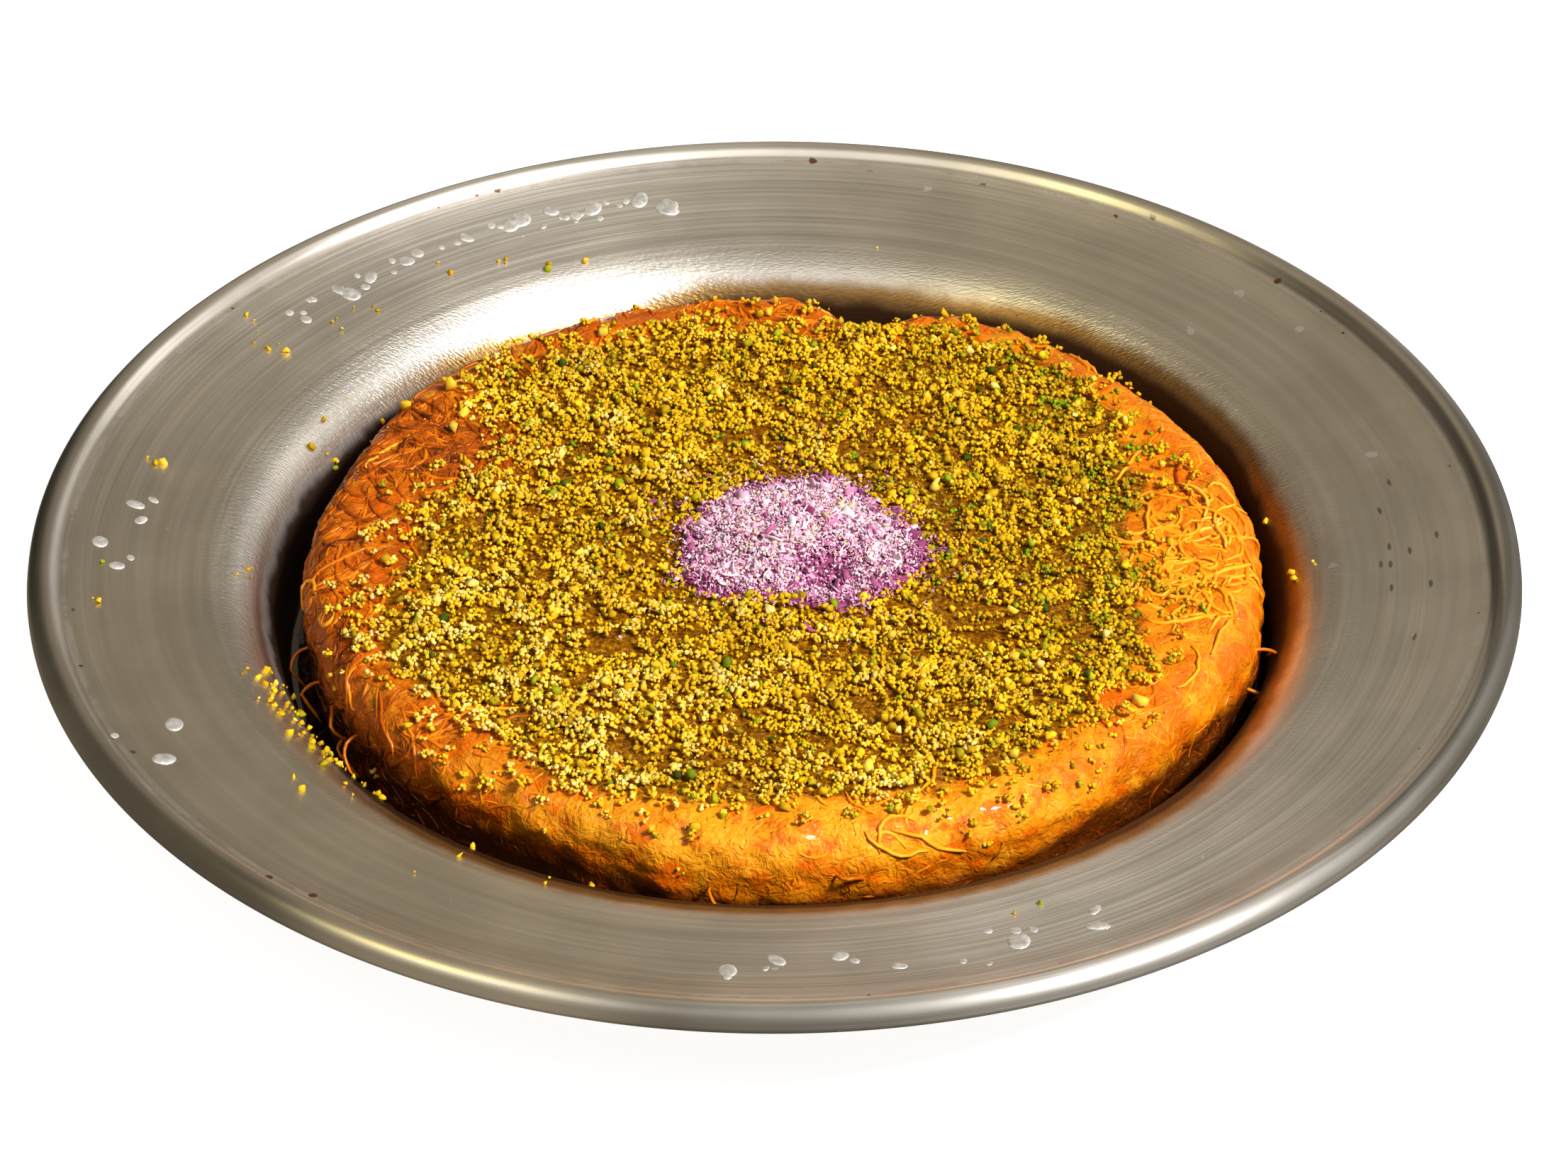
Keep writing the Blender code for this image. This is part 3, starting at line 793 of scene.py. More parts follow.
def brushed_steel(settings):
    """Pressed steel: ring grain, short strokes on the mouth bend, scratches and dried spots."""
    made, nodes, shader = new_material("brushed_steel")
    axes = nodes.axes()
    flat = nodes.add("CombineXYZ", {"X": axes[0], "Y": axes[1], "Z": 0.0}).outputs[0]
    radius = nodes.add("VectorMath", {"Vector": flat}, operation="LENGTH").outputs["Value"]
    rings = nodes.apply("Ring grain", pitch=0.00035, arc=0.4)["Height"]
    bands = nodes.apply("Ring grain", pitch=0.0022, arc=0.9)["Height"]
    # Scratches are real wear, lightened in colour as a painted glint
    scratches = nodes.apply("Scratches", length=0.012, share=0.14)["Mask"]
    scratches = nodes.product(scratches, nodes.between(radius, 95 * MM, 93 * MM))
    dings = right_dings(nodes, axes, radius)
    stain, spots, rust = old_dirt(nodes, radius, settings.radius - CREASE_INSET)
    # Painted reflection of the crust (amber) and painted shade of the gap (dark) on the steel
    amber, dark = painted_gap_shade_and_reflection(nodes, axes, radius)

    bands = nodes.between(bands, 0.3, 0.7, 0.93, 1.07)
    tone = nodes.product(nodes.uneven(0.014, 0.92, 1.06), bands)
    tint = tinted(nodes, tuple(settings.steel), tone)
    # The outer roll and the right lip are painted darker as shade, in place of dark reflections
    tint = tinted(nodes, tint, painted_edge_shade(nodes, axes, radius))
    masks = stain, spots, rust, dings, scratches, amber, dark
    for mask, (strength, shade) in zip(masks, ON_STEEL):
        tint = nodes.mix(nodes.product(mask, strength), tint, shade)
    nodes.feed(shader["Base Color"], tint)

    dirt = nodes.most(stain, spots, rust)
    # The painted gap shade also lowers the metal and, with the dirt, raises the roughness
    covered = nodes.most(nodes.product(dirt, 0.2), nodes.product(dark, 0.3))
    nodes.feed(shader["Metallic"], nodes.math("SUBTRACT", 1.0, covered, clamp=True))
    grain = nodes.between(rings, 0.3, 0.7, -0.03, 0.05)
    roll = nodes.between(radius, 97.6 * MM, 99.0 * MM)
    roll = nodes.product(roll, nodes.between(axes[0], -35 * MM, -10 * MM, 0.0, 0.12))
    dirt_and_gap_shade_roughness = nodes.product(nodes.most(dirt, dark), 0.15)
    nodes.feed(shader["Roughness"], nodes.total(grain, settings.roughness, dirt_and_gap_shade_roughness, roll))
    fixed(shader, {"Anisotropic": settings.brushing, "Anisotropic Rotation": 0.25})

    strokes = {"Rotation": (0.3, 0.2, 0.7), "Scale": (1.0, 3.4, 1.0)}
    strokes = nodes.add("Mapping", {"Vector": nodes.place(), **strokes}).outputs[0]
    mouth = nodes.window(radius, (67 * MM, 69 * MM), (84 * MM, 75 * MM))
    pits = nodes.product(nodes.noise(strokes, 0.9 * MM, detail=2.0), mouth)
    normal = nodes.bump(rings, 0.03 * MM, 0.5)
    normal = nodes.bump(pits, 0.12 * MM, 0.7, normal)
    nodes.feed(shader["Normal"], nodes.bump(dings, -0.1 * MM, 0.5, normal))
    return made


def dish_section(settings):
    """The upper side of the dish's sheet, from the axis out to the hem."""
    inner_bend = (settings.brim_width - settings.brim_rise) / (BRIM_MIDDLE - BRIM_START)
    outer_bend = settings.brim_rise / (BRIM_END - BRIM_MIDDLE)
    bends = (
        bend_size(settings.corner_bend, 0, WALL_SLOPE),
        bend_size(settings.mouth_bend, WALL_SLOPE, BRIM_START),
        bend_size(inner_bend, BRIM_START, BRIM_MIDDLE),
        bend_size(outer_bend, BRIM_MIDDLE, BRIM_END),
        bend_size(settings.edge_bend, BRIM_END, EDGE_RISE),
    )
    crest_rise = bend_size(settings.edge_bend, EDGE_RISE, 0)[1]
    rise = settings.sheet + sum(up for _, up in bends) + crest_rise
    wall = (settings.height - rise) / math.sin(WALL_SLOPE)
    edge = bend_size(settings.edge_bend, EDGE_RISE, HEM_SLOPE)[0]
    straights = wall * math.cos(WALL_SLOPE) + settings.hem * math.cos(HEM_SLOPE)
    across = sum(out for out, _ in bends) + straights + edge
    pen = Pen(0.0, settings.sheet)
    pen.straight(settings.radius - across, 6)
    pen.bend(settings.corner_bend, WALL_SLOPE, 10)
    pen.straight(wall, 2)
    pen.bend(settings.mouth_bend, BRIM_START, 22)
    pen.bend(inner_bend, BRIM_MIDDLE, 12)
    pen.bend(outer_bend, BRIM_END, 9)
    pen.bend(settings.edge_bend, EDGE_RISE, 6)
    pen.bend(settings.edge_bend, HEM_SLOPE, 16)
    pen.straight(settings.hem, 2)
    return pen.points


def dent_dish(work, settings):
    """Gives the brim its slight waves and a few shallow dents."""
    draw = np.random.default_rng(SEEDS["dents"])
    dents = [
        (math.radians(angle) + draw.normal(0, 0.02), spot, draw.uniform(1.2, 2.6) * MM)
        for angle in (102, 108, 113, 118, 121, 127, 133, 141, 262, 268, 277, 284, 291, 352, 358, 4)
        for spot in (draw.uniform(83.0, 91.0) * MM,)
    ]
    centres = [Vector((spot * math.cos(at), spot * math.sin(at), 0.0)) for at, spot, _ in dents]
    for vertex in work.verts:
        flat = Vector((vertex.co.x, vertex.co.y, 0.0))
        radius = flat.length
        on_brim = smooth_step(radius, 70 * MM, 80 * MM)
        wave = 0.10 * MM * noise.noise(vertex.co / (22 * MM)) * on_brim
        dent = 0.0
        for centre, (_, _, size) in zip(centres, dents):
            away = (flat - centre).length / size
            if away < 2.5:
                dent += 0.10 * MM * math.exp(-away * away)
        inside = 1 - smooth_step(radius, settings.radius - 3 * MM, settings.radius)
        vertex.co.z += (wave - dent) * inside


class KUNAFA_OT_dish(bpy.types.Operator):
    """Makes the pressed steel dish"""

    bl_idname = "kunafa.dish"
    bl_label = "Steel dish"

    def execute(self, context):
        settings = context.scene.kunafa_dish
        work = spun(dish_section(settings), settings.steps)
        middle = min(work.faces, key=lambda face: face.calc_center_median().length)
        if middle.normal.z < 0:
            bmesh.ops.reverse_faces(work, faces=work.faces)
        dent_dish(work, settings)
        upper = len(work.verts)
        dish = finished(work, "steel_dish")
        sheet = dish.modifiers.new("sheet", "SOLIDIFY")
        sheet.thickness = settings.sheet
        sheet.offset = -1.0
        sheet.use_even_offset = True
        graph = context.evaluated_depsgraph_get()
        mesh = bpy.data.meshes.new_from_object(dish.evaluated_get(graph))
        dish.modifiers.clear()
        dish.data = mesh
        lining = mesh.attributes.new("lining", "FLOAT", "POINT")
        lining.data.foreach_set("value", (np.arange(len(mesh.vertices)) < upper).astype(np.float32))
        dress(dish, brushed_steel(settings), "steel", "dish")
        return {"FINISHED"}


def pistachio_reach(azimuth):
    """How far the pistachio lies from the middle at an azimuth, in a smooth line."""
    degrees = math.degrees(azimuth) % 360
    stations = PISTACHIO_REACH + ((PISTACHIO_REACH[0][0] + 360, PISTACHIO_REACH[0][1]),)
    for (one, near), (other, far) in zip(stations, stations[1:]):
        if one <= degrees <= other:
            return near + (far - near) * smooth_step(degrees, one, other)
    return PISTACHIO_REACH[0][1]


def cover(x, y):
    """The share of the crust that the pistachio covers at a place, from 0 to 1."""
    place = Vector((x, y, 0.0))
    ragged = 3.4 * MM * noise.noise(place / (6 * MM)) + 2.0 * MM * noise.noise(place / (2.2 * MM))
    reach = pistachio_reach(math.atan2(y, x)) + ragged
    covered = 1 - 0.90 * smooth_step(place.length, reach - 5.5 * MM, reach + 2.0 * MM)
    covered *= 1 - smooth_step(place.length, reach + 3.0 * MM, reach + 9.0 * MM)
    for patch_x, patch_y, size, missing in BARE_PATCHES:
        away = math.hypot(x - patch_x, y - patch_y) + 2 * ragged
        covered *= 1 - missing * (1 - smooth_step(away, 0.5 * size, 1.25 * size))
    return covered


def soaked(x, y):
    """How dark the crust is under the pistachio, from 0 to 1: partly real syrup soaking, partly
    painted shade between the crumbs.
    """
    place = Vector((x, y, 0.0))
    ragged = 2.5 * MM * noise.noise(place / (4 * MM))
    reach = pistachio_reach(math.atan2(y, x)) + ragged
    dark = 1 - smooth_step(place.length, reach - 6.0 * MM, reach + 1.5 * MM)
    for number, (patch_x, patch_y, size, missing) in enumerate(BARE_PATCHES):
        away = math.hypot(x - patch_x, y - patch_y) + ragged
        bare = 1.0 if number == 0 else 0.3
        dark *= 1 - bare * (1 - smooth_step(away, 0.5 * size, 1.3 * size))
    return dark


def clump(x, y):
    """How high the pistachio is piled at a place, from 0 to 1."""
    place = Vector((x, y, 7 * MM))
    value = 0.5 + 0.66 * noise.noise(place / (4.4 * MM)) + 0.34 * noise.noise(place / (1.9 * MM))
    return min(1.0, max(0.0, value))


def painted_side_light(places):
    """Painted light: how much lighter the nut is made towards the left and the near side, and
    darker towards the right.
    """
    left = np.clip((-places[:, 0] - 0.005) / 0.045, 0.0, 1.0)
    near = np.clip((-places[:, 1] - 0.005) / 0.045, 0.0, 1.0)
    right = np.clip((places[:, 0] - 0.010) / 0.035, 0.0, 1.0)
    return 0.19 * left + 0.19 * near - 0.22 * right


def clear_of_heap(x, y, settings):
    """0 on the flat seat under the petal heap and 1 well away from it."""
    away = math.hypot(x - HEAP_PLACE.x, y - HEAP_PLACE.y)
    return smooth_step(away, settings.heap_radius + 2 * MM, settings.heap_radius + 8 * MM)


def cake_section(settings):
    """The cake's outline in section, from the middle of its top out and down to its foot."""
    top_reach = settings.radius - settings.shoulder
    pen = Pen(0.0, settings.top)
    pen.straight(top_reach, 104)
    pen.bend(settings.shoulder, math.radians(-90), 16)
    pen.straight(settings.top - settings.shoulder - settings.foot - settings.low, 16)
    pen.bend(settings.foot, math.radians(-180), 6)
    pen.straight(settings.radius - settings.foot, 2)
    return pen.points


def shape_cake(work, cake, toppings):
    """Gives the spun cake its uneven outline, swells, lumps and broken edge."""
    meal = work.verts.layers.float.new("meal")
    for vertex in work.verts:
        x, y, z = vertex.co
        radius = math.hypot(x, y)
        azimuth = math.atan2(y, x)
        inner = smooth_step(radius, 0.3 * cake.radius, cake.radius)
        reach = radius + inner * lobes(azimuth, EDGE_LOBES)
        upper = smooth_step(z, 3.8 * MM, cake.top)
        offset = (azimuth - CHIP_AZIMUTH) / CHIP_WIDTH
        chip = smooth_step(radius, 0.82 * cake.radius, 0.97 * cake.radius)
        chip *= math.exp(-offset * offset)
        place = Vector((x, y, z))
        free = clear_of_heap(x + cake.shift, y, toppings) * smooth_step(z, 3.8 * MM, 6.8 * MM)
        swell = 0.6 * MM * noise.noise(place / (19 * MM)) + 0.5 * MM * noise.noise(place / (6 * MM))
        covered = soaked(x + cake.shift, y) if z > cake.top - cake.shoulder else 0.0
        vertex[meal] = covered
        lump = 0.60 * MM * noise.noise(place / (3.4 * MM))
        lump += 0.30 * MM * noise.noise(place / (1.5 * MM))
        side = smooth_step(radius, cake.radius - cake.shoulder, cake.radius)
        crag = lump * free * (1 - 0.5 * covered)
        bulge = free * side * 0.5 * MM * noise.noise(place / (6 * MM))
        reach += bulge - chip * CHIP_PULL * upper + side * crag
        height = z + free * (1 - side) * swell - chip * CHIP_DEPTH * upper + (1 - side) * crag
        vertex.co = (reach * math.cos(azimuth) + cake.shift, reach * math.sin(azimuth), height)


def crust_colour(nodes, settings, patches, flecks, strings):
    """The crust's colour where it lies bare."""
    place = nodes.place()
    axes = nodes.axes(place)
    # Darker towards the left: partly real browning, partly painted shade on the side away from the
    # key light
    side = nodes.math("SUBTRACT", axes[0], nodes.product(axes[1], 0.55))
    toast_and_shade = nodes.product(nodes.between(side, 34 * MM, -44 * MM), 0.8)
    toast_and_shade = nodes.math("ADD", toast_and_shade, nodes.between(patches, 0.40, 0.68, -0.2, 0.65), clamp=True)
    # Painted light: the upper part of the near side is made paler
    near = nodes.between(axes[1], -40 * MM, -60 * MM)
    sunlit = nodes.product(near, nodes.between(axes[2], 11.5 * MM, 15 * MM), 0.62)
    burn = nodes.add("VectorMath", {0: place, 1: BURN_PLACE}, operation="DISTANCE").outputs["Value"]
    burn = nodes.between(burn, 13 * MM, 6 * MM), nodes.between(patches, 0.30, 0.60, 0.35, 0.85)
    # The darker foot is partly real burnt crust and partly painted shade low on the side, in the
    # gap; it reaches less far up on the near front
    front = nodes.between(axes[1], -45 * MM, -60 * MM), nodes.between(axes[0], -30 * MM, 0.0)
    foot = nodes.total(axes[2], nodes.product(patches, 3 * MM), nodes.product(*front, 1.8 * MM))
    foot = nodes.product(nodes.between(foot, 13.5 * MM, 10.5 * MM), 0.95)
    layers = (
        (toast_and_shade, settings.toasted),
        (sunlit, settings.pale),
        (nodes.between(flecks, 0.48, 0.62, 0.0, 0.85), RED_FLECKS),
        (nodes.between(flecks, 0.46, 0.30, 0.0, 0.60), settings.pale),
        (nodes.product(*burn), BURN_COLOUR),
        (nodes.between(strings, 0.52, 0.78, 0.0, 0.30), settings.pale),
        # Painted shade in the hollows of the string relief
        (nodes.between(strings, 0.45, 0.25, 0.0, 0.6), STRING_SHADE),
        (foot, settings.burnt),
    )
    base = tuple(settings.bright)
    for mask, shade in layers:
        base = nodes.mix(mask, base, tuple(shade))
    return base


def baked_crust(settings):
    """Glossy orange shreds baked together, darker where soaked and at the foot, both partly as
    painted shade.
    """
    made, nodes, shader = new_material("baked_crust")
    place = nodes.place()
    patches = nodes.noise(place, 9 * MM, detail=4.0, roughness=0.6)
    flecks = nodes.noise(place, 3.8 * MM, detail=3.0, roughness=0.6)
    strings = nodes.noise(place, 1.6 * MM, detail=3.0, distortion=1.6, roughness=0.6)
    grains = nodes.noise(place, 0.7 * MM, detail=3.0, roughness=0.7)
    stops = ((0.36, SOAKED_DARK), (0.52, tuple(settings.shadow)), (0.68, SOAKED_LIGHT))
    meal = nodes.attribute("meal")
    base = crust_colour(nodes, settings, patches, flecks, strings)
    # Under the pistachio: soaked crust, partly painted shade between the crumbs
    base = nodes.mix(nodes.between(meal, 0.10, 0.60, 0.0, 0.95), base, nodes.ramp(grains, stops))
    nodes.feed(shader["Base Color"], base)
    nodes.feed(shader["Roughness"], nodes.between(strings, 0.3, 0.7, 0.26, 0.45))
    nodes.feed(shader["Coat Weight"], nodes.between(meal, 0.10, 0.60, 0.20, 0.0))
    fixed(shader, {**SYRUP_GLOSS, "Coat IOR": 1.45})
    normal = nodes.bump(flecks, 1.0 * MM, 0.5)
    normal = nodes.bump(strings, 0.8 * MM, 0.7, normal)
    fine = nodes.noise(place, 0.5 * MM, detail=2.0)
    nodes.feed(shader["Normal"], nodes.bump(fine, 0.1 * MM, 0.5, normal))
    return made


class KUNAFA_OT_crust(bpy.types.Operator):
    """Makes the cake's body of baked shreds"""

    bl_idname = "kunafa.crust"
    bl_label = "Baked crust"

    def execute(self, context):
        settings = context.scene.kunafa_cake
        work = spun(cake_section(settings), settings.steps)
        shape_cake(work, settings, context.scene.kunafa_topping)
        crust = finished(work, "kunafa_crust")
        dress(crust, baked_crust(settings), "baked_crust", "kunafa")
        return {"FINISHED"}


def thread_template(sides, joints):
    """A closed straight tube from 0 to 1 along Z, with a ring of corners at each joint."""
    work = bmesh.new()
    bmesh.ops.create_cone(work, cap_ends=True, segments=sides, radius1=1.0, radius2=1.0, depth=1.0)
    upright = [edge for edge in work.edges if abs(edge.verts[0].co.z - edge.verts[1].co.z) > 0.5]
    bmesh.ops.subdivide_edges(work, edges=upright, cuts=joints - 2, use_grid_fill=True)
    bmesh.ops.translate(work, vec=(0.0, 0.0, 0.5), verts=work.verts)
    return template(work)


def thread_path(surface, start, heading, curl, step, lift, joints):
    """Points and normals along a shred that creeps over the crust, with a wavering heading."""
    place, normal, _, _ = surface.find_nearest(start)
    path = []
    for number in range(joints):
        path.append((*(place + normal * lift[number]), *normal))
        heading = (heading - normal * heading.dot(normal)).normalized()
        heading = (heading + normal.cross(heading) * curl[number]).normalized()
        place, normal, _, _ = surface.find_nearest(place + heading * step)
    return path


def threads(name, paths, radii, tones, sides=5):
    """Tubes along paths, as one piece."""
    paths = np.array(paths)
    joints = paths.shape[1]
    points, faces = thread_template(sides, joints)
    ring = np.clip(np.rint(points[:, 2] * (joints - 1)).astype(int), 0, joints - 1)
    places, normals = paths[:, :, :3], paths[:, :, 3:]
    ahead = np.gradient(places, axis=1)
    ahead /= np.linalg.norm(ahead, axis=2, keepdims=True) + 1e-12
    side = np.cross(ahead, normals)
    side /= np.linalg.norm(side, axis=2, keepdims=True) + 1e-12
    up = np.cross(side, ahead)
    taper = 1 - 0.55 * np.abs(2 * np.arange(joints) / (joints - 1) - 1) ** 4
    width = radii[:, None] * taper[None, :]
    around = side[:, ring] * points[None, :, 0:1] + up[:, ring] * points[None, :, 1:2]
    full = places[:, ring] + around * width[:, ring][:, :, None]
    return joined(name, full, faces, tones, smooth=True)


def shred_look(name, stops, gloss):
    """Syrupy shreds, each with its own tone."""
    made, nodes, shader = new_material(name)
    wander = nodes.uneven(0.0025, -0.12, 0.12)
    tone = nodes.math("ADD", nodes.attribute("tone"), wander, clamp=True)
    nodes.feed(shader["Base Color"], nodes.ramp(tone, stops))
    nodes.feed(shader["Roughness"], nodes.between(wander, -0.12, 0.12, 0.26, 0.45))
    fixed(shader, {**SYRUP_GLOSS, "Coat Weight": 0.3 * gloss})
    return made


def crust_start(draw, cake, low_azimuth, high_azimuth):
    """A random place above the bare band or on the side of the cake, by azimuth range."""
    azimuth = draw.uniform(low_azimuth, high_azimuth)
    depth = draw.uniform(-13.0, 15.0) * MM
    if depth > 0:
        radius = cake.radius
        height = cake.top - cake.shoulder - depth * 0.75
    else:
        radius = cake.radius + depth
        height = cake.top
    place = Vector((radius * math.cos(azimuth) + cake.shift, radius * math.sin(azimuth), height))
    return place, azimuth


def flow(place):
    """The lay of the shreds at a place, as a heading in the plane."""
    return 3.4 * noise.noise(place / (11 * MM)) + 1.2 * noise.noise(place / (4 * MM))


class KUNAFA_OT_threads(bpy.types.Operator):
    """Makes the pastry shreds that show on the crust"""

    bl_idname = "kunafa.threads"
    bl_label = "Pastry shreds"

    def execute(self, context):
        cake = context.scene.kunafa_cake
        surface = surface_of(bpy.data.objects["kunafa_crust"])
        draw = np.random.default_rng(SEEDS["pastry_shreds"])
        joints = 8
        paths = []
        sizes = []
        while len(paths) < cake.thread_count:
            start, azimuth = crust_start(draw, cake, 0.0, 2 * math.pi)
            if draw.uniform() < 0.07:
                patch_x, patch_y, size, _ = BARE_PATCHES[0]
                start.x = patch_x + draw.normal(0.0, 0.45) * size
                start.y = patch_y + draw.normal(0.0, 0.45) * size
                start.z = cake.top
            left = smooth_step(-(start.x - 0.55 * start.y), -0.010, 0.045)
            if start.z >= cake.top and cover(start.x, start.y) > draw.uniform(0.1, 0.8):
                continue
            turn = azimuth + math.pi / 2 + flow(start) + draw.normal(0.0, 0.30 + 0.2 * (1 - left))
            heading = Vector((math.cos(turn), math.sin(turn), draw.normal(0.0, 0.35)))
            curl = draw.normal(0.0, 0.20) + draw.normal(0.0, 0.16, joints)
            base = (draw.uniform(-0.36, -0.10) + 0.16 * left) * MM
            base -= 0.12 * MM * smooth_step(-start.y, 0.035, 0.055)
            lift = base + draw.normal(0.0, 0.05, joints) * MM
            step = draw.uniform(0.9, 1.8) * MM
            paths.append(thread_path(surface, start, heading, curl, step, lift, joints))
            sizes.append(draw.uniform(0.70, 1.0) + 0.22 * left)
        middle = np.array(paths)[:, joints // 2, :3]
        # Tones lighter on the right and the near front, and darker low on the side: partly real
        # browning, partly painted light and shade
        side = np.clip((middle[:, 0] - 0.55 * middle[:, 1] + 0.05) / 0.08, 0.0, 1.0)
        low = np.clip((0.0120 - middle[:, 2]) / 0.003, 0.0, 1.0)
        front = np.clip((-0.040 - middle[:, 1]) / 0.02, 0.0, 1.0)
        burnt = np.exp(-np.square((middle[:, :2] - BURN_PLACE[:2]) / 0.009).sum(axis=1))
        tones = 0.34 + 0.26 * side + 0.16 * front - 0.62 * low - 0.12 * burnt
        tones += draw.normal(0.0, 0.11, len(paths))
        radii = cake.thread_radius * np.array(sizes)
        shreds = threads("pastry_shreds", paths, radii, np.clip(tones, 0.0, 1.0))
        stops = ((0.0, cake.burnt), (0.30, cake.toasted), (0.66, cake.bright), (1.0, cake.pale))
        dress(shreds, shred_look("pastry_shreds", stops, 0.5), "baked_crust")
        self.pale_threads(cake, surface)
        self.stray_threads(cake)
        return {"FINISHED"}

    def pale_threads(self, cake, surface):
        """Paler, looser shreds, most of them tangled on the right of the crust."""
        draw = np.random.default_rng(SEEDS["pale_shreds"])
        joints = 9
        paths = []
        while len(paths) < cake.pale_count:
            if draw.uniform() < 0.65:
                x = draw.normal(56.0, 3.6) * MM
                y = draw.normal(-5.0, 7.0) * MM
            elif draw.uniform() < 0.4:
                x = draw.normal(15.0, 4.0) * MM
                y = draw.normal(-62.5, 1.0) * MM
            else:
                azimuth = draw.uniform(0.0, 2 * math.pi)
                radius = cake.radius - draw.uniform(0.5, 9.0) * MM
                x = radius * math.cos(azimuth)
                y = radius * math.sin(azimuth)
            start = Vector((x, y, cake.top))
            if math.hypot(x - cake.shift, y) > cake.radius or cover(x, y) > 0.7:
                continue
            turn = draw.uniform(0.0, 2 * math.pi)
            heading = Vector((math.cos(turn), math.sin(turn), 0.0))
            curl = draw.normal(0.0, 0.35) + draw.normal(0.0, 0.25, joints)
            lift = draw.uniform(-0.1, 0.25) * MM + draw.normal(0.0, 0.10, joints) * MM
            step = draw.uniform(0.7, 1.4) * MM
            paths.append(thread_path(surface, start, heading, curl, step, lift, joints))
        radii = cake.thread_radius * draw.uniform(0.8, 1.25, len(paths))
        tones = np.clip(draw.normal(0.5, 0.22, len(paths)), 0.0, 1.0)
        pale = threads("pale_shreds", paths, radii, tones, sides=6)
        stops = ((0.0, cake.bright), (0.7, cake.pale), (1.0, (0.92, 0.50, 0.06)))
        dress(pale, shred_look("pale_shreds", stops, 0.45), "baked_crust")

    def stray_threads(self, cake):
        """A few loose shreds that hang in the gap between the cake and the dish."""
        draw = np.random.default_rng(SEEDS["stray_shreds"])
        joints = 10
        paths = []
        for degrees in (193, 199, 205, 208, 212, 337, 340, 344, 262, 276, 279, 71, 84):
            azimuth = math.radians(degrees)
            radius = cake.radius - 0.5 * MM
            height = draw.uniform(7.0, 12.0) * MM
            heading = azimuth + draw.normal(0.0, 0.7)
            rise = draw.uniform(-0.3, 0.5)
            path = []
            x, y, z = radius * math.cos(azimuth) + cake.shift, radius * math.sin(azimuth), height
            for _ in range(joints):
                path.append((x, y, z, 0.0, 0.0, 1.0))
                reach = math.hypot(x, y)
                limit = (68.0 if z > 8.5 * MM else 66.2) * MM
                if reach > limit:
                    heading = math.atan2(y, x) + math.pi * 0.62
                heading += draw.normal(0.25, 0.3)
                x += 0.75 * MM * math.cos(heading)
                y += 0.75 * MM * math.sin(heading)
                z = max(2.6 * MM, z + 0.6 * MM * rise)
                rise -= 0.22
            paths.append(path)
        radii = cake.thread_radius * draw.uniform(0.75, 1.0, len(paths))
        tones = draw.uniform(0.1, 0.9, len(paths))
        stray = threads("stray_shreds", paths, radii, tones, sides=6)
        stops = ((0.0, cake.toasted), (1.0, cake.bright))
        dress(stray, shred_look("stray_shreds", stops, 0.6), "baked_crust")


def placed_threads(name, routes, radius, surface, lift):
    """Long shreds along routes given as plan points, laid on the crust."""
    paths = []
    joints = 12
    for route in routes:
        route = np.array(route) * MM
        spans = np.linspace(0, len(route) - 1, joints)
        path = []
        for span in spans:
            whole = min(int(span), len(route) - 2)
            rest = span - whole
            before, after = route[max(whole - 1, 0)], route[min(whole + 2, len(route) - 1)]
            one, other = route[whole], route[whole + 1]
            spot = 0.5 * (
                2 * one
                + (other - before) * rest
                + (2 * before - 5 * one + 4 * other - after) * rest**2
                + (3 * one - before - 3 * other + after) * rest**3
            )
            place, normal = landing(surface, *spot)
            path.append((*(place + normal * lift), *normal))
        paths.append(path)
    radii = np.full(len(paths), radius)
    return threads(name, paths, radii, np.linspace(0.2, 0.8, len(paths)), sides=7)


class KUNAFA_OT_red_threads(bpy.types.Operator):
    """Makes the few long dark red shreds on the crust"""

    bl_idname = "kunafa.red_threads"
    bl_label = "Red shreds"

    def execute(self, context):
        cake = context.scene.kunafa_cake
        surface = surface_of(bpy.data.objects["kunafa_crust"])
        routes = (
            ((-38.5, 31.0), (-38.9, 28.0), (-38.2, 24.5), (-37.6, 21.0)),
            ((57.0, 20.5), (55.2, 16.0), (56.2, 11.0), (59.0, 7.0), (62.0, 3.8)),
            ((7.5, 58.0), (11.0, 56.2), (14.5, 54.0), (18.5, 52.6)),
            ((-37.6, 21.4), (-36.8, 20.4), (-36.0, 20.2), (-35.4, 20.8)),
        )
        red = placed_threads("red_shreds", routes, 0.28 * MM, surface, 0.06 * MM)
        stops = ((0.0, (0.25, 0.020, 0.002)), (1.0, (0.34, 0.04, 0.002)))
        dress(red, shred_look("red_shreds", stops, 0.6), "baked_crust")
        return {"FINISHED"}


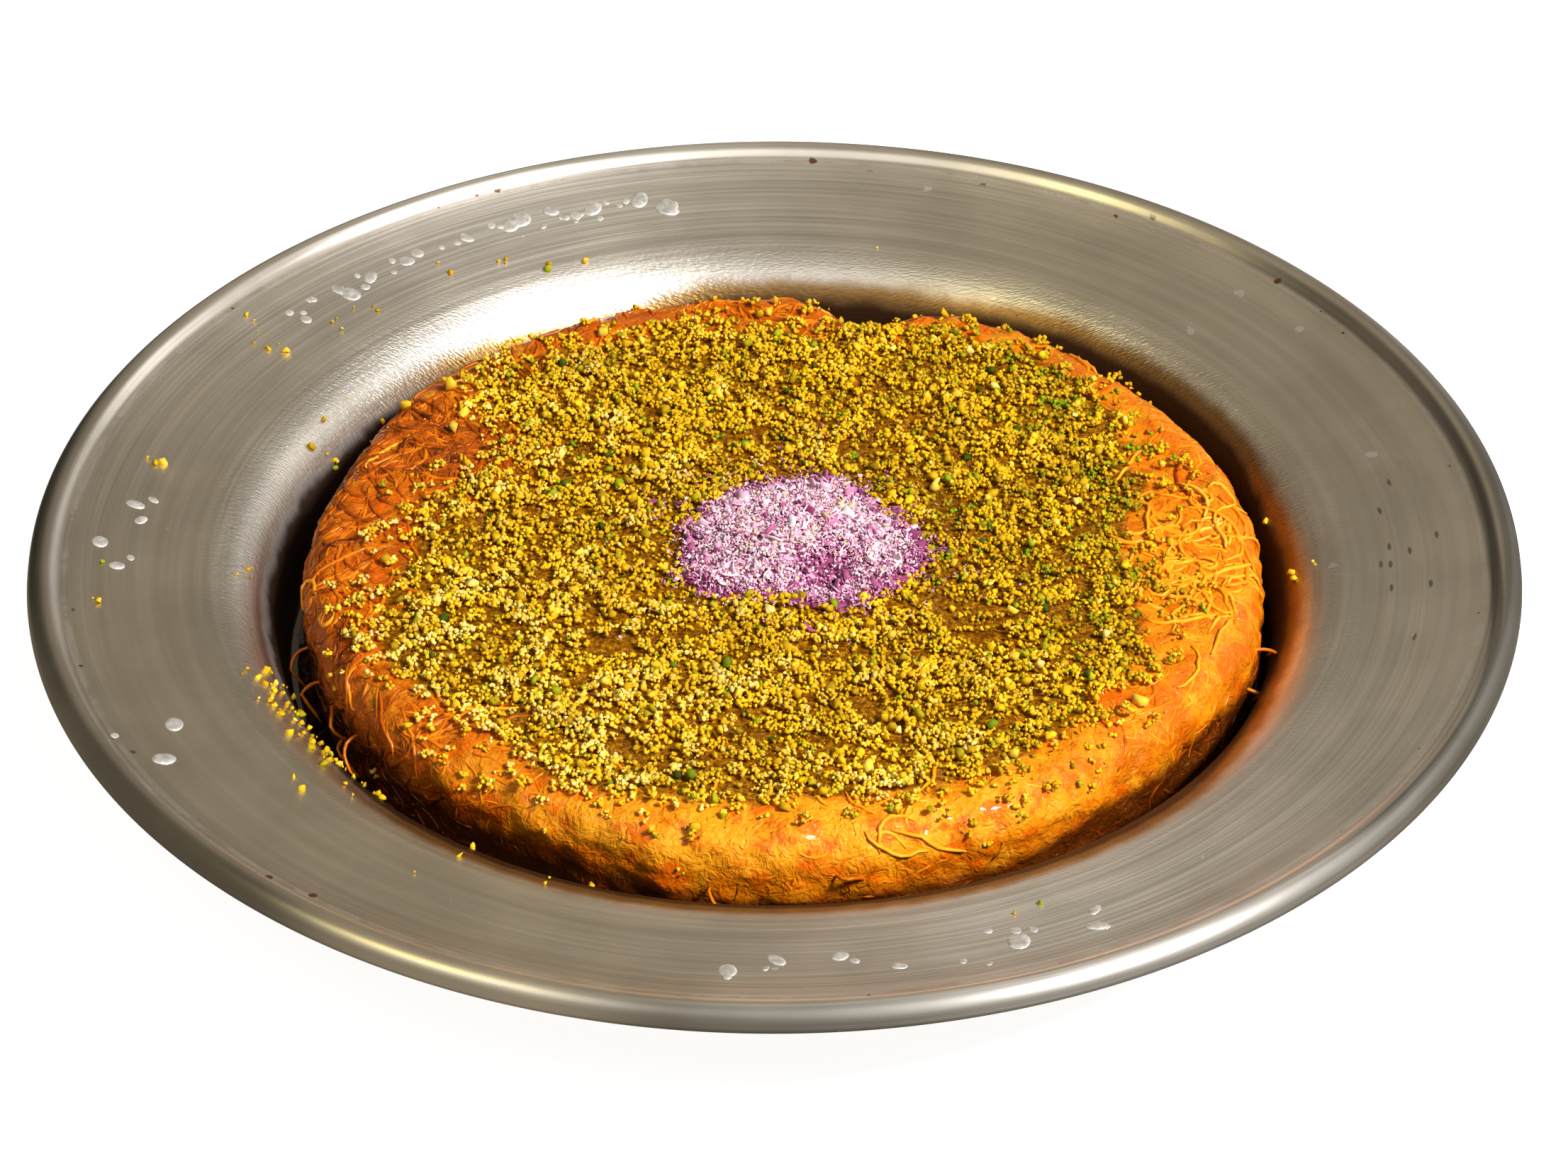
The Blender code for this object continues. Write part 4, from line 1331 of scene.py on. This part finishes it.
class KUNAFA_OT_syrup(bpy.types.Operator):
    """Makes the syrup that has run down into the gap"""

    bl_idname = "kunafa.syrup"
    bl_label = "Syrup"

    def execute(self, context):
        cake = context.scene.kunafa_cake
        low = context.scene.kunafa_dish.sheet + 0.08 * MM
        inner = cake.radius - 3.6 * MM
        section = (
            (inner, low),
            (inner + 2.9 * MM, low),
            (inner + 4.9 * MM, low + 0.55 * MM),
            (inner + 5.7 * MM, low + 1.25 * MM),
            (inner + 5.5 * MM, low + 1.35 * MM),
            (inner + 4.4 * MM, low + 1.0 * MM),
            (inner + 2.8 * MM, low + 0.85 * MM),
            (inner, low + 0.85 * MM),
            (inner, low),
        )
        work = spun(section, 160)
        syrup = finished(work, "syrup_film")
        made, nodes, shader = new_material("syrup")
        # The syrup's near-black colour is partly painted shade in the gap
        tint = tinted(nodes, tuple(cake.syrup), nodes.uneven(0.006, 0.6, 1.4))
        nodes.feed(shader["Base Color"], tint)
        nodes.feed(shader["Roughness"], nodes.uneven(0.004, 0.06, 0.16))
        fixed(shader, {"Coat Weight": 0.8})
        nodes.feed(shader["Normal"], nodes.bump(nodes.noise(nodes.place(), 3 * MM), 0.3 * MM, 0.4))
        dress(syrup, made, "baked_crust")
        return {"FINISHED"}


def spread_out(away):
    """Moves points on a ball apart, so that their hull is rounder."""
    for _ in range(20):
        away /= np.linalg.norm(away, axis=1, keepdims=True)
        off = away[:, None] - away[None]
        away = away + 0.06 * (off / (np.square(off).sum(axis=2, keepdims=True) + 0.02)).sum(axis=1)
    return away


def chips(draw, kinds, corners, rounded=False):
    """A few chips of unit size, each the hull of a handful of points."""
    shapes = []
    for _ in range(kinds):
        work = bmesh.new()
        away = draw.normal(size=(corners, 3))
        if rounded:
            away = spread_out(away)
        away /= np.linalg.norm(away, axis=1, keepdims=True)
        away *= 0.5 * draw.uniform(0.8, 1.1, (corners, 1))
        away *= (1.0, draw.uniform(0.7, 1.0), draw.uniform(0.6, 0.9))
        for point in away:
            work.verts.new(point)
        hull = bmesh.ops.convex_hull(work, input=work.verts)
        spare = set(hull["geom_interior"]) | set(hull["geom_unused"])
        spare = [item for item in spare if isinstance(item, bmesh.types.BMVert)]
        bmesh.ops.delete(work, geom=spare, context="VERTS")
        bmesh.ops.recalc_face_normals(work, faces=work.faces)
        shapes.append(template(work))
    return shapes


def sprinkle(draw, surface, chance, lift, copies, apart=None):
    """Places for crumbs on the cake, by a chance and a lift at each place, kept some way apart."""
    places = []
    taken = {}
    tries = 0
    while len(places) < copies and tries < 60 * copies:
        tries += 1
        radius = 0.066 * math.sqrt(draw.uniform())
        azimuth = draw.uniform(0.0, 2 * math.pi)
        x, y = radius * math.cos(azimuth), radius * math.sin(azimuth)
        if draw.uniform() > chance(x, y):
            continue
        if apart is not None:
            column, row = int(x // apart), int(y // apart)
            cells = [(column + i, row + j) for i in (-1, 0, 1) for j in (-1, 0, 1)]
            near = [spot for cell in cells for spot in taken.get(cell, ())]
            if any(math.hypot(x - one, y - other) < apart for one, other in near):
                continue
            taken.setdefault((column, row), []).append((x, y))
        hit = landing(surface, x, y)[0]
        if hit is not None:
            places.append((x, y, hit.z + lift(x, y)))
    return np.array(places)


def heaped(draw, centres, reaches, spacing):
    """Places of the grains that make up each clump: a rounded little pile, and its owner."""
    counts = np.maximum(3, ((reaches / spacing) ** 2).astype(int))
    owner = np.repeat(np.arange(len(centres)), counts)
    total = len(owner)
    away = np.sqrt(draw.uniform(size=total))
    turn = draw.uniform(0.0, 2 * math.pi, total)
    stretch = draw.uniform(0.65, 1.0, len(centres))[owner]
    lean = draw.uniform(0.0, math.pi, len(centres))[owner]
    x = away * np.cos(turn) * reaches[owner]
    y = away * np.sin(turn) * reaches[owner] * stretch
    height = np.sqrt(1 - away * away) * 0.75 * reaches[owner] * draw.uniform(0.6, 1.1, total)
    east = x * np.cos(lean) - y * np.sin(lean)
    north = x * np.sin(lean) + y * np.cos(lean)
    return centres[owner] + np.stack([east, north, height], axis=-1), owner


def in_heap(x, y, settings, margin=0.0):
    """Whether a place is under the petal heap."""
    off_x, off_y = x - HEAP_PLACE.x, y - HEAP_PLACE.y
    edge = settings.heap_radius + lobes(math.atan2(off_y, off_x), HEAP_LOBES)
    return math.hypot(off_x, off_y) < edge - margin


def nut_look(name, settings, pale):
    """Ground pistachio: mostly yellow, some green, a few reddish or pale bits."""
    made, nodes, shader = new_material(name)
    nut = Vector(settings.nut)
    stops = (
        (0.0, (0.05, 0.08, 0.003)),
        (0.03, tuple(settings.green)),
        (0.09, tuple(Vector(settings.green).lerp(nut, 0.4) * 0.8)),
        (0.17, tuple(nut * 0.45)),
        (0.42, tuple(nut * 0.86)),
        (0.66, tuple(nut)),
        (0.90, (0.95, 0.64, 0.075)),
        (1.0, pale),
    )
    wander = nodes.uneven(0.0010, 0.74, 1.10)
    base = tinted(nodes, nodes.ramp(nodes.attribute("tone"), stops), wander)
    nodes.feed(shader["Base Color"], tinted(nodes, base, nodes.uneven(0.009, 0.80, 1.12)))
    nodes.feed(shader["Roughness"], nodes.between(wander, 0.74, 1.10, 0.85, 0.6))
    fixed(shader, {"Specular IOR Level": 0.2, "Specular Tint": (1.0, 0.85, 0.45, 1.0)})
    return made


class KUNAFA_OT_pistachio(bpy.types.Operator):
    """Makes the ground pistachio, from dust to chopped bits"""

    bl_idname = "kunafa.pistachio"
    bl_label = "Pistachio"

    def execute(self, context):
        settings = context.scene.kunafa_topping
        surface = surface_of(bpy.data.objects["kunafa_crust"])
        look = nut_look("ground_pistachio", settings, (0.97, 0.74, 0.22))

        def chance(x, y):
            if in_heap(x, y, settings, 1 * MM):
                return 0.0
            return cover(x, y) * (0.30 + 0.70 * smooth_step(clump(x, y), 0.25, 0.50))

        def settled(x, y):
            return 1.6 * max(0.0, clump(x, y) - 0.42) * MM

        layer = surface, chance, settled
        for name, setting, span, apart in self.CLUMPS:
            self.clumps(name, getattr(settings, setting), span, apart * MM, layer, look)
        self.chunks(surface, look)
        for name, setting, span, lift, corners in self.LOOSE:
            self.loose(name, getattr(settings, setting), span, lift * MM, corners, layer, look)
        return {"FINISHED"}

    # Each kind of clump: name, setting with its count, reach and spacing in millimetres
    CLUMPS = (
        ("pistachio_clumps", "clump_count", (0.8, 1.35), 1.55),
        ("pistachio_meal", "small_count", (0.45, 0.8), 0.85),
    )
    # Each kind of single bit: name, setting, sizes and lift in millimetres, and hull points
    LOOSE = (
        ("pistachio_grit", "grit_count", (0.9, 2.1), 0.45, 11),
        ("pistachio_dust", "dust_count", (0.25, 0.6), 0.1, 6),
    )
    # Each large piece of nut: x, y and size in millimetres, and its tone
    CHUNKS = (
        (-46.0, 36.2, 2.6, 0.72),
        (-44.8, 25.8, 2.4, 0.84),
        (-43.6, 29.5, 2.2, 0.80),
        (-42.3, 17.2, 1.8, 0.60),
        (-24.8, 49.2, 2.2, 0.85),
        (-19.2, 47.7, 1.8, 0.90),
        (-52.0, 32.8, 2.2, 0.70),
        (-45.8, -20.2, 2.0, 0.90),
        (-0.7, -17.1, 2.4, 0.99),
        (-44.8, -14.8, 2.0, 0.97),
        (-37.5, -0.4, 2.2, 0.40),
        (-33.3, 22.3, 1.8, 0.04),
        (38.0, 3.0, 2.0, 0.90),
        (-28.0, -38.0, 2.4, 0.85),
        (12.0, -50.0, 2.2, 0.88),
        (47.0, -36.0, 2.8, 0.80),
        (31.0, 36.0, 2.0, 0.95),
        (-8.0, 34.0, 2.2, 0.80),
        (22.0, 12.0, 2.0, 0.90),
    )

    def chunks(self, surface, look):
        """The largest pieces of nut, at their own places, as one piece."""
        draw = np.random.default_rng(SEEDS["pistachio_chunks"])
        rows = np.array(self.CHUNKS)
        places = []
        for x, y, size, _ in rows:
            hit = landing(surface, x * MM, y * MM)[0]
            places.append((x * MM, y * MM, hit.z + 0.3 * size * MM))
        turns = any_turns(draw, len(rows))
        shapes = chips(draw, 9, 16)
        sizes, tones = rows[:, 2] * MM, rows[:, 3]
        chunks = scattered("pistachio_chunks", shapes, draw, np.array(places), turns, sizes, tones)
        dress(chunks, look, "baked_crust")

    def clumps(self, name, copies, span, apart, layer, look):
        """Clumps of fine grains that stick together, as one piece."""
        draw = np.random.default_rng(SEEDS[name])
        centres = sprinkle(draw, *layer, copies, apart)
        reaches = draw.uniform(span[0], span[1], len(centres)) * MM
        places, owner = heaped(draw, centres, reaches, 0.30 * MM)
        sizes = draw.uniform(0.50, 1.05, len(places)) * MM
        own = draw.beta(1.5, 1.5, len(centres))
        own[draw.uniform(size=len(centres)) < 0.025] = -0.6
        # Painted light: grains high in a clump, and towards the left and the near side, are made
        # lighter; towards the right darker
        raised = (places[:, 2] - centres[owner, 2]) / reaches[owner]
        piled = np.array([clump(x, y) for x, y, _ in centres])[owner]
        tones = 0.24 + 0.34 * own[owner] + 0.30 * raised + 0.50 * (piled - 0.56) + painted_side_light(places)
        tones += draw.normal(0.0, 0.10, len(places))
        tones[draw.uniform(size=len(places)) < 0.035] = 0.05
        turns = any_turns(draw, len(places))
        shapes = chips(draw, 18, 8, rounded=True)
        tones = np.clip(tones, 0.02, 0.985)
        piece = scattered(name, shapes, draw, places, turns, sizes, tones, smooth=True)
        dress(piece, look, "baked_crust")

    def loose(self, name, copies, span, lift, corners, layer, look):
        """Single bits of one size as one piece."""
        draw = np.random.default_rng(SEEDS[name])
        places = sprinkle(draw, *layer, copies)
        places[:, 2] += lift + draw.uniform(-0.1, 0.5, len(places)) * MM
        sizes = (span[0] + (span[1] - span[0]) * draw.uniform(size=len(places)) ** 2.0) * MM
        shapes = chips(draw, 16, corners)
        piled = np.array([clump(x, y) for x, y, _ in places])
        tones = draw.uniform(0.0, 0.85, len(places)) + 0.5 * (piled - 0.55)
        tones = np.clip(tones, 0.0, 0.96)
        tones[::110] = 0.99
        piece = scattered(name, shapes, draw, places, any_turns(draw, len(places)), sizes, tones)
        dress(piece, look, "baked_crust")


def heap_section(settings, seat):
    """Half of the petal heap in section, a low dome on a flat seat."""
    rings = 44
    points = []
    for ring in range(rings + 1):
        part = ring / rings
        height = 0.5 * MM + (settings.heap_height - 0.5 * MM) * math.cos(part * math.pi / 2) ** 1.2
        points.append((part * settings.heap_radius, seat + height))
    points.append((settings.heap_radius, seat))
    points.append((0.0, seat))
    return points


def shape_heap(work, seat):
    """Gives the spun heap its uneven outline, bumps and hollow."""
    for vertex in work.verts:
        x, y, z = vertex.co
        radius = math.hypot(x, y)
        azimuth = math.atan2(y, x)
        loose = smooth_step(z - seat, 0.0, 0.5 * MM)
        reach = radius + smooth_step(radius, 0.0, 15 * MM) * lobes(azimuth, HEAP_LOBES)
        spot = Vector((reach * math.cos(azimuth), reach * math.sin(azimuth), 0.0)) + HEAP_PLACE
        bump = 0.55 * MM * noise.noise(spot / (3.2 * MM))
        bump += 0.3 * MM * noise.noise(spot / (1.3 * MM))
        away = (spot - HEAP_HOLLOW).length / HEAP_HOLLOW_SIZE
        hollow = math.exp(-away * away) * 2.0 * MM
        vertex.co = (spot.x, spot.y, max(seat, z + loose * (bump - hollow)))


def petal_look(name, settings):
    """Dry crushed rose petals, from dark purple through lilac to cream."""
    made, nodes, shader = new_material(name)
    stops = (
        (0.0, tuple(settings.dark_petal)),
        (0.16, (0.34, 0.045, 0.17)),
        (0.36, (0.68, 0.22, 0.44)),
        (0.62, tuple(settings.petal)),
        (0.82, (0.98, 0.82, 0.90)),
        (0.94, (0.98, 0.88, 0.82)),
        (1.0, (0.82, 0.62, 0.34)),
    )
    base = nodes.ramp(nodes.attribute("tone"), stops)
    nodes.feed(shader["Base Color"], tinted(nodes, base, nodes.uneven(0.0011, 0.82, 1.08)))
    nodes.feed(shader["Roughness"], nodes.uneven(0.001, 0.55, 0.85))
    fixed(shader, {"Specular IOR Level": 0.3, "Sheen Weight": 0.15})
    nodes.feed(shader["Normal"], nodes.apply("Crumbly", size=0.0004, depth=0.35)["Normal"])
    return made


def flake_shapes(draw, kinds, across, along, thickness):
    """A few thin uneven flakes of unit size, bent and with a real thickness."""
    shapes = []
    for _ in range(kinds):
        work = bmesh.new()
        bmesh.ops.create_grid(work, x_segments=across, y_segments=along, size=0.5)
        narrow = draw.uniform(0.35, 0.85)
        cup = draw.uniform(-0.5, 0.5)
        for vertex in work.verts:
            x, y, _ = vertex.co
            rough = draw.uniform(0.7, 1.15)
            vertex.co = (x * rough, y * rough * narrow, cup * x * x + draw.uniform(-0.08, 0.08))
        bmesh.ops.solidify(work, geom=work.faces[:], thickness=thickness)
        bmesh.ops.recalc_face_normals(work, faces=work.faces)
        shapes.append(template(work))
    return shapes


class KUNAFA_OT_petals(bpy.types.Operator):
    """Makes the heap of crushed rose petals"""

    bl_idname = "kunafa.petals"
    bl_label = "Rose petals"

    def execute(self, context):
        settings = context.scene.kunafa_topping
        seat = context.scene.kunafa_cake.top + 0.05 * MM
        work = spun(heap_section(settings, seat), 130)
        tone = work.verts.layers.float.new("tone")
        shape_heap(work, seat)
        # Painted shade: the core under the petal bits gets dark purple tones
        for vertex in work.verts:
            vertex[tone] = 0.06 + 0.12 * (0.5 + 0.5 * noise.noise(vertex.co / (1.1 * MM)))
        core = finished(work, "petal_core")
        look = petal_look("rose_petals", settings)
        dress(core, look, "petals", "rose_petals")
        surface = surface_of(core, bpy.data.objects["kunafa_crust"])
        for name, setting, span, parts, thickness in self.FLAKES:
            copies = getattr(settings, setting)
            self.flakes(name, copies, span, parts, thickness, settings, surface, look)
        return {"FINISHED"}

    # Each kind of flake: name, setting with its count, sizes in millimetres, its parts across
    # and along, and its thickness at unit size
    FLAKES = (
        ("petal_bits", "flake_count", (0.28, 0.72), (1, 1), 0.16),
        ("petal_leaves", "leaf_count", (1.1, 2.8), (3, 2), 0.07),
    )

    def flakes(self, name, copies, span, parts, thickness, settings, surface, look):
        """Petal bits of one size as one piece, close on the heap and thinning out round it."""
        draw = np.random.default_rng(SEEDS[name])
        places = []
        normals = []
        dark = []
        while len(places) < copies:
            off = draw.normal(0.0, 1.0, 2) * settings.heap_radius * 0.95
            x, y = off[0] + HEAP_PLACE.x, off[1] + HEAP_PLACE.y
            azimuth = math.atan2(off[1], off[0])
            edge = settings.heap_radius + lobes(azimuth, HEAP_LOBES)
            away = math.hypot(off[0], off[1]) / edge
            ragged = 0.16 * noise.noise(Vector((x, y, 0.0)) / (3 * MM))
            chance = 1 - 0.97 * smooth_step(away + ragged, 0.86, 1.12)
            chance *= 1 - 0.8 * smooth_step(away, 1.3, 1.7)
            if away > 2.0 or draw.uniform() > chance:
                continue
            hollow = (Vector((x, y, 0.0)) - HEAP_HOLLOW).length / HEAP_HOLLOW_SIZE
            if hollow < 0.8 and draw.uniform() < 0.55:
                continue
            hit, normal = landing(surface, x, y)
            outside = smooth_step(away, 0.95, 1.1)
            places.append((x, y, hit.z + (0.12 + draw.uniform(0.0, 0.45) + 0.7 * outside) * MM))
            normals.append(tuple(normal))
            far_or_right = max(0.0, math.cos(azimuth - 1.45), math.cos(azimuth + 0.15))
            edge_dark = (0.26 + 0.22 * far_or_right**6) * smooth_step(away, 0.7, 1.05)
            # Bits in the hollow are darkened as painted shade
            dark.append(edge_dark + 0.38 * math.exp(-hollow * hollow))
        sizes = (span[0] + (span[1] - span[0]) * draw.uniform(size=copies) ** 1.7) * MM
        shapes = flake_shapes(draw, 16, *parts, thickness)
        turns = flat_turns(draw, np.array(normals), 0.75)
        tones = np.clip(draw.normal(0.63, 0.26, copies) - np.array(dark), 0.0, 1.0)
        piece = scattered(name, shapes, draw, np.array(places), turns, sizes, tones)
        dress(piece, look, "petals")


class KUNAFA_OT_rim_crumbs(bpy.types.Operator):
    """Makes the crumbs that fell on the steel"""

    bl_idname = "kunafa.rim_crumbs"
    bl_label = "Fallen crumbs"

    # Each group of crumbs: x and y in millimetres, how far they spread, and how many
    GROUPS = (
        (-65, -26, 1.6, 16),
        (-63, -32, 1.6, 18),
        (-60, -38, 1.8, 20),
        (-56, -43, 1.8, 16),
        (-51, -48, 2.0, 9),
        (-60, 29, 2.4, 22),
        (-56, 37, 2.2, 12),
        (-49, 69, 1.0, 2),
        (-41, 71, 1.5, 3),
        (-33, 70, 0.8, 2),
        (-27.6, 71, 0.6, 1),
        (-59, 57, 1.0, 3),
        (-64.5, 52, 1.2, 3),
        (-77, 52.5, 1.2, 3),
        (-72, 46, 1.2, 4),
        (-85.5, 18.5, 1.2, 3),
        (-72, -2, 1.5, 4),
        (-91, -7, 0.6, 1),
        (-90, -15, 0.6, 2),
        (-69, -27, 0.8, 2),
        (-60, -52, 1.5, 2),
        (14.5, 76, 0.6, 1),
        (70, -1, 1.2, 3),
        (66.5, 12, 0.8, 2),
        (-25, -68, 2.0, 3),
        (-38, -60, 2.5, 3),
        (30, -72, 4.0, 2),
    )

    def execute(self, context):
        settings = context.scene.kunafa_topping
        surface = surface_of(bpy.data.objects["steel_dish"])
        draw = np.random.default_rng(SEEDS["fallen_crumbs"])
        places = []
        for x, y, spread, number in self.GROUPS:
            for _ in range(number):
                off = draw.normal(0.0, spread, 2)
                hit, normal = landing(surface, (x + off[0]) * MM, (y + off[1]) * MM)
                places.append(tuple(hit + normal * 0.25 * MM))
        copies = len(places)
        sizes = (0.45 + 1.2 * draw.uniform(size=copies) ** 2.0) * MM
        shapes = chips(draw, 14, 12)
        tones = draw.uniform(0.02, 0.9, copies)
        turns = any_turns(draw, copies)
        crumbs = scattered("fallen_crumbs", shapes, draw, np.array(places), turns, sizes, tones)
        look = nut_look("fallen_pistachio", settings, (0.97, 0.80, 0.36))
        dress(crumbs, look, "baked_crust")
        return {"FINISHED"}


class KUNAFA_OT_drops(bpy.types.Operator):
    """Makes the dried drops on the brim"""

    bl_idname = "kunafa.drops"
    bl_label = "Drops"

    # Each row of drops: first and last azimuth in degrees, middle radius, spread, and how many
    ROWS = (
        (100, 142, 87.5 * MM, 2.0 * MM, 46),
        (264, 298, 88.0 * MM, 3.6 * MM, 17),
        (150, 215, 90.0 * MM, 5.0 * MM, 9),
    )

    def execute(self, context):
        surface = surface_of(bpy.data.objects["steel_dish"])
        draw = np.random.default_rng(SEEDS["dried_drops"])
        places = []
        normals = []
        for first, last, middle, spread, number in self.ROWS:
            for _ in range(number):
                azimuth = math.radians(draw.uniform(first, last))
                radius = middle + draw.uniform(-1, 1) * spread
                x, y = radius * math.cos(azimuth), radius * math.sin(azimuth)
                hit, normal = landing(surface, x, y)
                places.append(tuple(hit))
                normals.append(tuple(normal))
        copies = len(places)
        shapes = []
        for _ in range(6):
            work = bmesh.new()
            bmesh.ops.create_uvsphere(work, u_segments=14, v_segments=8, radius=0.5)
            bmesh.ops.scale(work, vec=(1.0, draw.uniform(0.5, 0.9), 0.13), verts=work.verts)
            shapes.append(template(work))
        sizes = (1.0 + 2.8 * draw.uniform(size=copies) ** 1.5) * MM
        turns = flat_turns(draw, np.array(normals), 0.02)
        places, tones = np.array(places), np.zeros(copies)
        drops = scattered("dried_drops", shapes, draw, places, turns, sizes, tones, smooth=True)
        made, nodes, shader = new_material("dried_drops")
        tint = tinted(nodes, (0.82, 0.81, 0.79), nodes.uneven(0.001, 0.75, 1.0))
        nodes.feed(shader["Base Color"], tint)
        nodes.feed(shader["Roughness"], nodes.uneven(0.0008, 0.45, 0.6))
        fixed(shader, {"Metallic": 0.8})
        dress(drops, made, "steel")
        return {"FINISHED"}


class KUNAFA_OT_stage(bpy.types.Operator):
    """Makes the pale floor, the lights and the camera"""

    bl_idname = "kunafa.stage"
    bl_label = "Stage"

    def execute(self, context):
        settings = context.scene.kunafa_stage
        self.floor(settings)
        self.camera(context.scene, settings)
        for lamp in LAMPS:
            self.light(settings.power, lamp)
        for number, screen in enumerate(SCREENS):
            self.screen(number, *screen)
        self.room(context.scene, settings)
        context.scene.view_settings.view_transform = "Standard"
        return {"FINISHED"}

    def floor(self, settings):
        """A wide pale floor under the dish."""
        work = bmesh.new()
        bmesh.ops.create_grid(work, x_segments=4, y_segments=4, size=4.0)
        floor = finished(work, "floor")
        made, _, shader = new_material("floor")
        fixed(shader, {"Base Color": (*settings.floor, 1.0), "Roughness": 0.9})
        fixed(shader, {"Specular IOR Level": 0.1})
        fixed(shader, {"Emission Color": (1.0, 1.0, 1.0, 1.0), "Emission Strength": 0.9})
        floor.data.materials.append(made)
        floor.visible_glossy = False

    def camera(self, scene, settings):
        """The camera at the photograph's angle."""
        lens = bpy.data.cameras.new("camera")
        lens.lens = settings.lens
        lens.sensor_width = 36.0
        lens.clip_start = 0.01
        camera = bpy.data.objects.new("camera", lens)
        target = Vector((settings.target_x, settings.target_y, DISH_HIGH.z))
        back = Vector((0.0, -math.cos(settings.elevation), math.sin(settings.elevation)))
        camera.location = target + back * settings.distance
        camera.rotation_euler = (math.pi / 2 - settings.elevation, 0.0, 0.0)
        scene.collection.objects.link(camera)
        scene.camera = camera

    def light(self, power, row):
        """A soft lamp or card that faces the dish from a direction."""
        name, part, width, height, distance, azimuth, elevation, tint, seen, lights_food = row
        lamp = bpy.data.lights.new(name, "AREA")
        lamp.shape = "RECTANGLE"
        lamp.energy = power * part
        lamp.size = width
        lamp.size_y = height
        lamp.color = tint
        light = bpy.data.objects.new(name, lamp)
        turn, rise = math.radians(azimuth), math.radians(elevation)
        flat = math.cos(rise)
        away = Vector((math.cos(turn) * flat, math.sin(turn) * flat, math.sin(rise)))
        light.location = away * distance
        light.rotation_euler = away.to_track_quat("Z", "Y").to_euler()
        light.visible_glossy = seen
        light.visible_diffuse = lights_food
        bpy.context.scene.collection.objects.link(light)

    def screen(self, number, azimuth, distance, width, low, high, tint):
        """An upright dim screen at the back, which the steel mirrors as a darker band."""
        work = bmesh.new()
        bmesh.ops.create_grid(work, x_segments=2, y_segments=2, size=0.5)
        bmesh.ops.scale(work, vec=(width, high - low, 1.0), verts=work.verts)
        turn = math.radians(azimuth)
        upright = Matrix.Rotation(turn - math.pi / 2, 4, "Z") @ Matrix.Rotation(math.pi / 2, 4, "X")
        centre = (distance * math.cos(turn), distance * math.sin(turn), (low + high) / 2)
        bmesh.ops.transform(work, matrix=Matrix.Translation(centre) @ upright, verts=work.verts)
        name = f"dim_screen_{number}"
        screen = finished(work, name)
        made, _, shader = new_material(name)
        fixed(shader, {"Base Color": (0.0, 0.0, 0.0, 1.0), "Specular IOR Level": 0.0})
        fixed(shader, {"Emission Color": (*tint, 1.0), "Emission Strength": 1.0})
        screen.data.materials.append(made)
        screen.visible_diffuse = False
        screen.visible_shadow = False
        screen.visible_camera = False

    def room(self, scene, settings):
        """The plain warm room round the dish."""
        world = bpy.data.worlds.new("room")
        world.use_nodes = True
        back = world.node_tree.nodes["Background"]
        back.inputs["Color"].default_value = (*settings.room, 1.0)
        world.cycles_visibility.diffuse = False
        scene.world = world


class KUNAFA_PT_panel(bpy.types.Panel):
    """Lists the steps that make the kunafa"""

    bl_idname = "KUNAFA_PT_panel"
    bl_label = "Kunafa"
    bl_space_type = "VIEW_3D"
    bl_region_type = "UI"
    bl_category = "Kunafa"

    def draw(self, context):
        for operator in STEPS:
            self.layout.operator(operator.bl_idname)


SETTINGS = {
    "kunafa_dish": DishSettings,
    "kunafa_cake": CakeSettings,
    "kunafa_topping": ToppingSettings,
    "kunafa_stage": StageSettings,
}
STEPS = (
    KUNAFA_OT_stage,
    KUNAFA_OT_dish,
    KUNAFA_OT_crust,
    KUNAFA_OT_threads,
    KUNAFA_OT_red_threads,
    KUNAFA_OT_syrup,
    KUNAFA_OT_pistachio,
    KUNAFA_OT_petals,
    KUNAFA_OT_rim_crumbs,
    KUNAFA_OT_drops,
)


def register():
    for group in SETTINGS.values():
        bpy.utils.register_class(group)
    for name, group in SETTINGS.items():
        setattr(bpy.types.Scene, name, PointerProperty(type=group))
    for step in STEPS:
        bpy.utils.register_class(step)
    bpy.utils.register_class(KUNAFA_PT_panel)


def unregister():
    bpy.utils.unregister_class(KUNAFA_PT_panel)
    for step in reversed(STEPS):
        bpy.utils.unregister_class(step)
    for name, group in SETTINGS.items():
        delattr(bpy.types.Scene, name)
        bpy.utils.unregister_class(group)


def main():
    register()
    for step in STEPS:
        family, name = step.bl_idname.split(".")
        getattr(getattr(bpy.ops, family), name)()


if __name__ == "__main__":
    main()
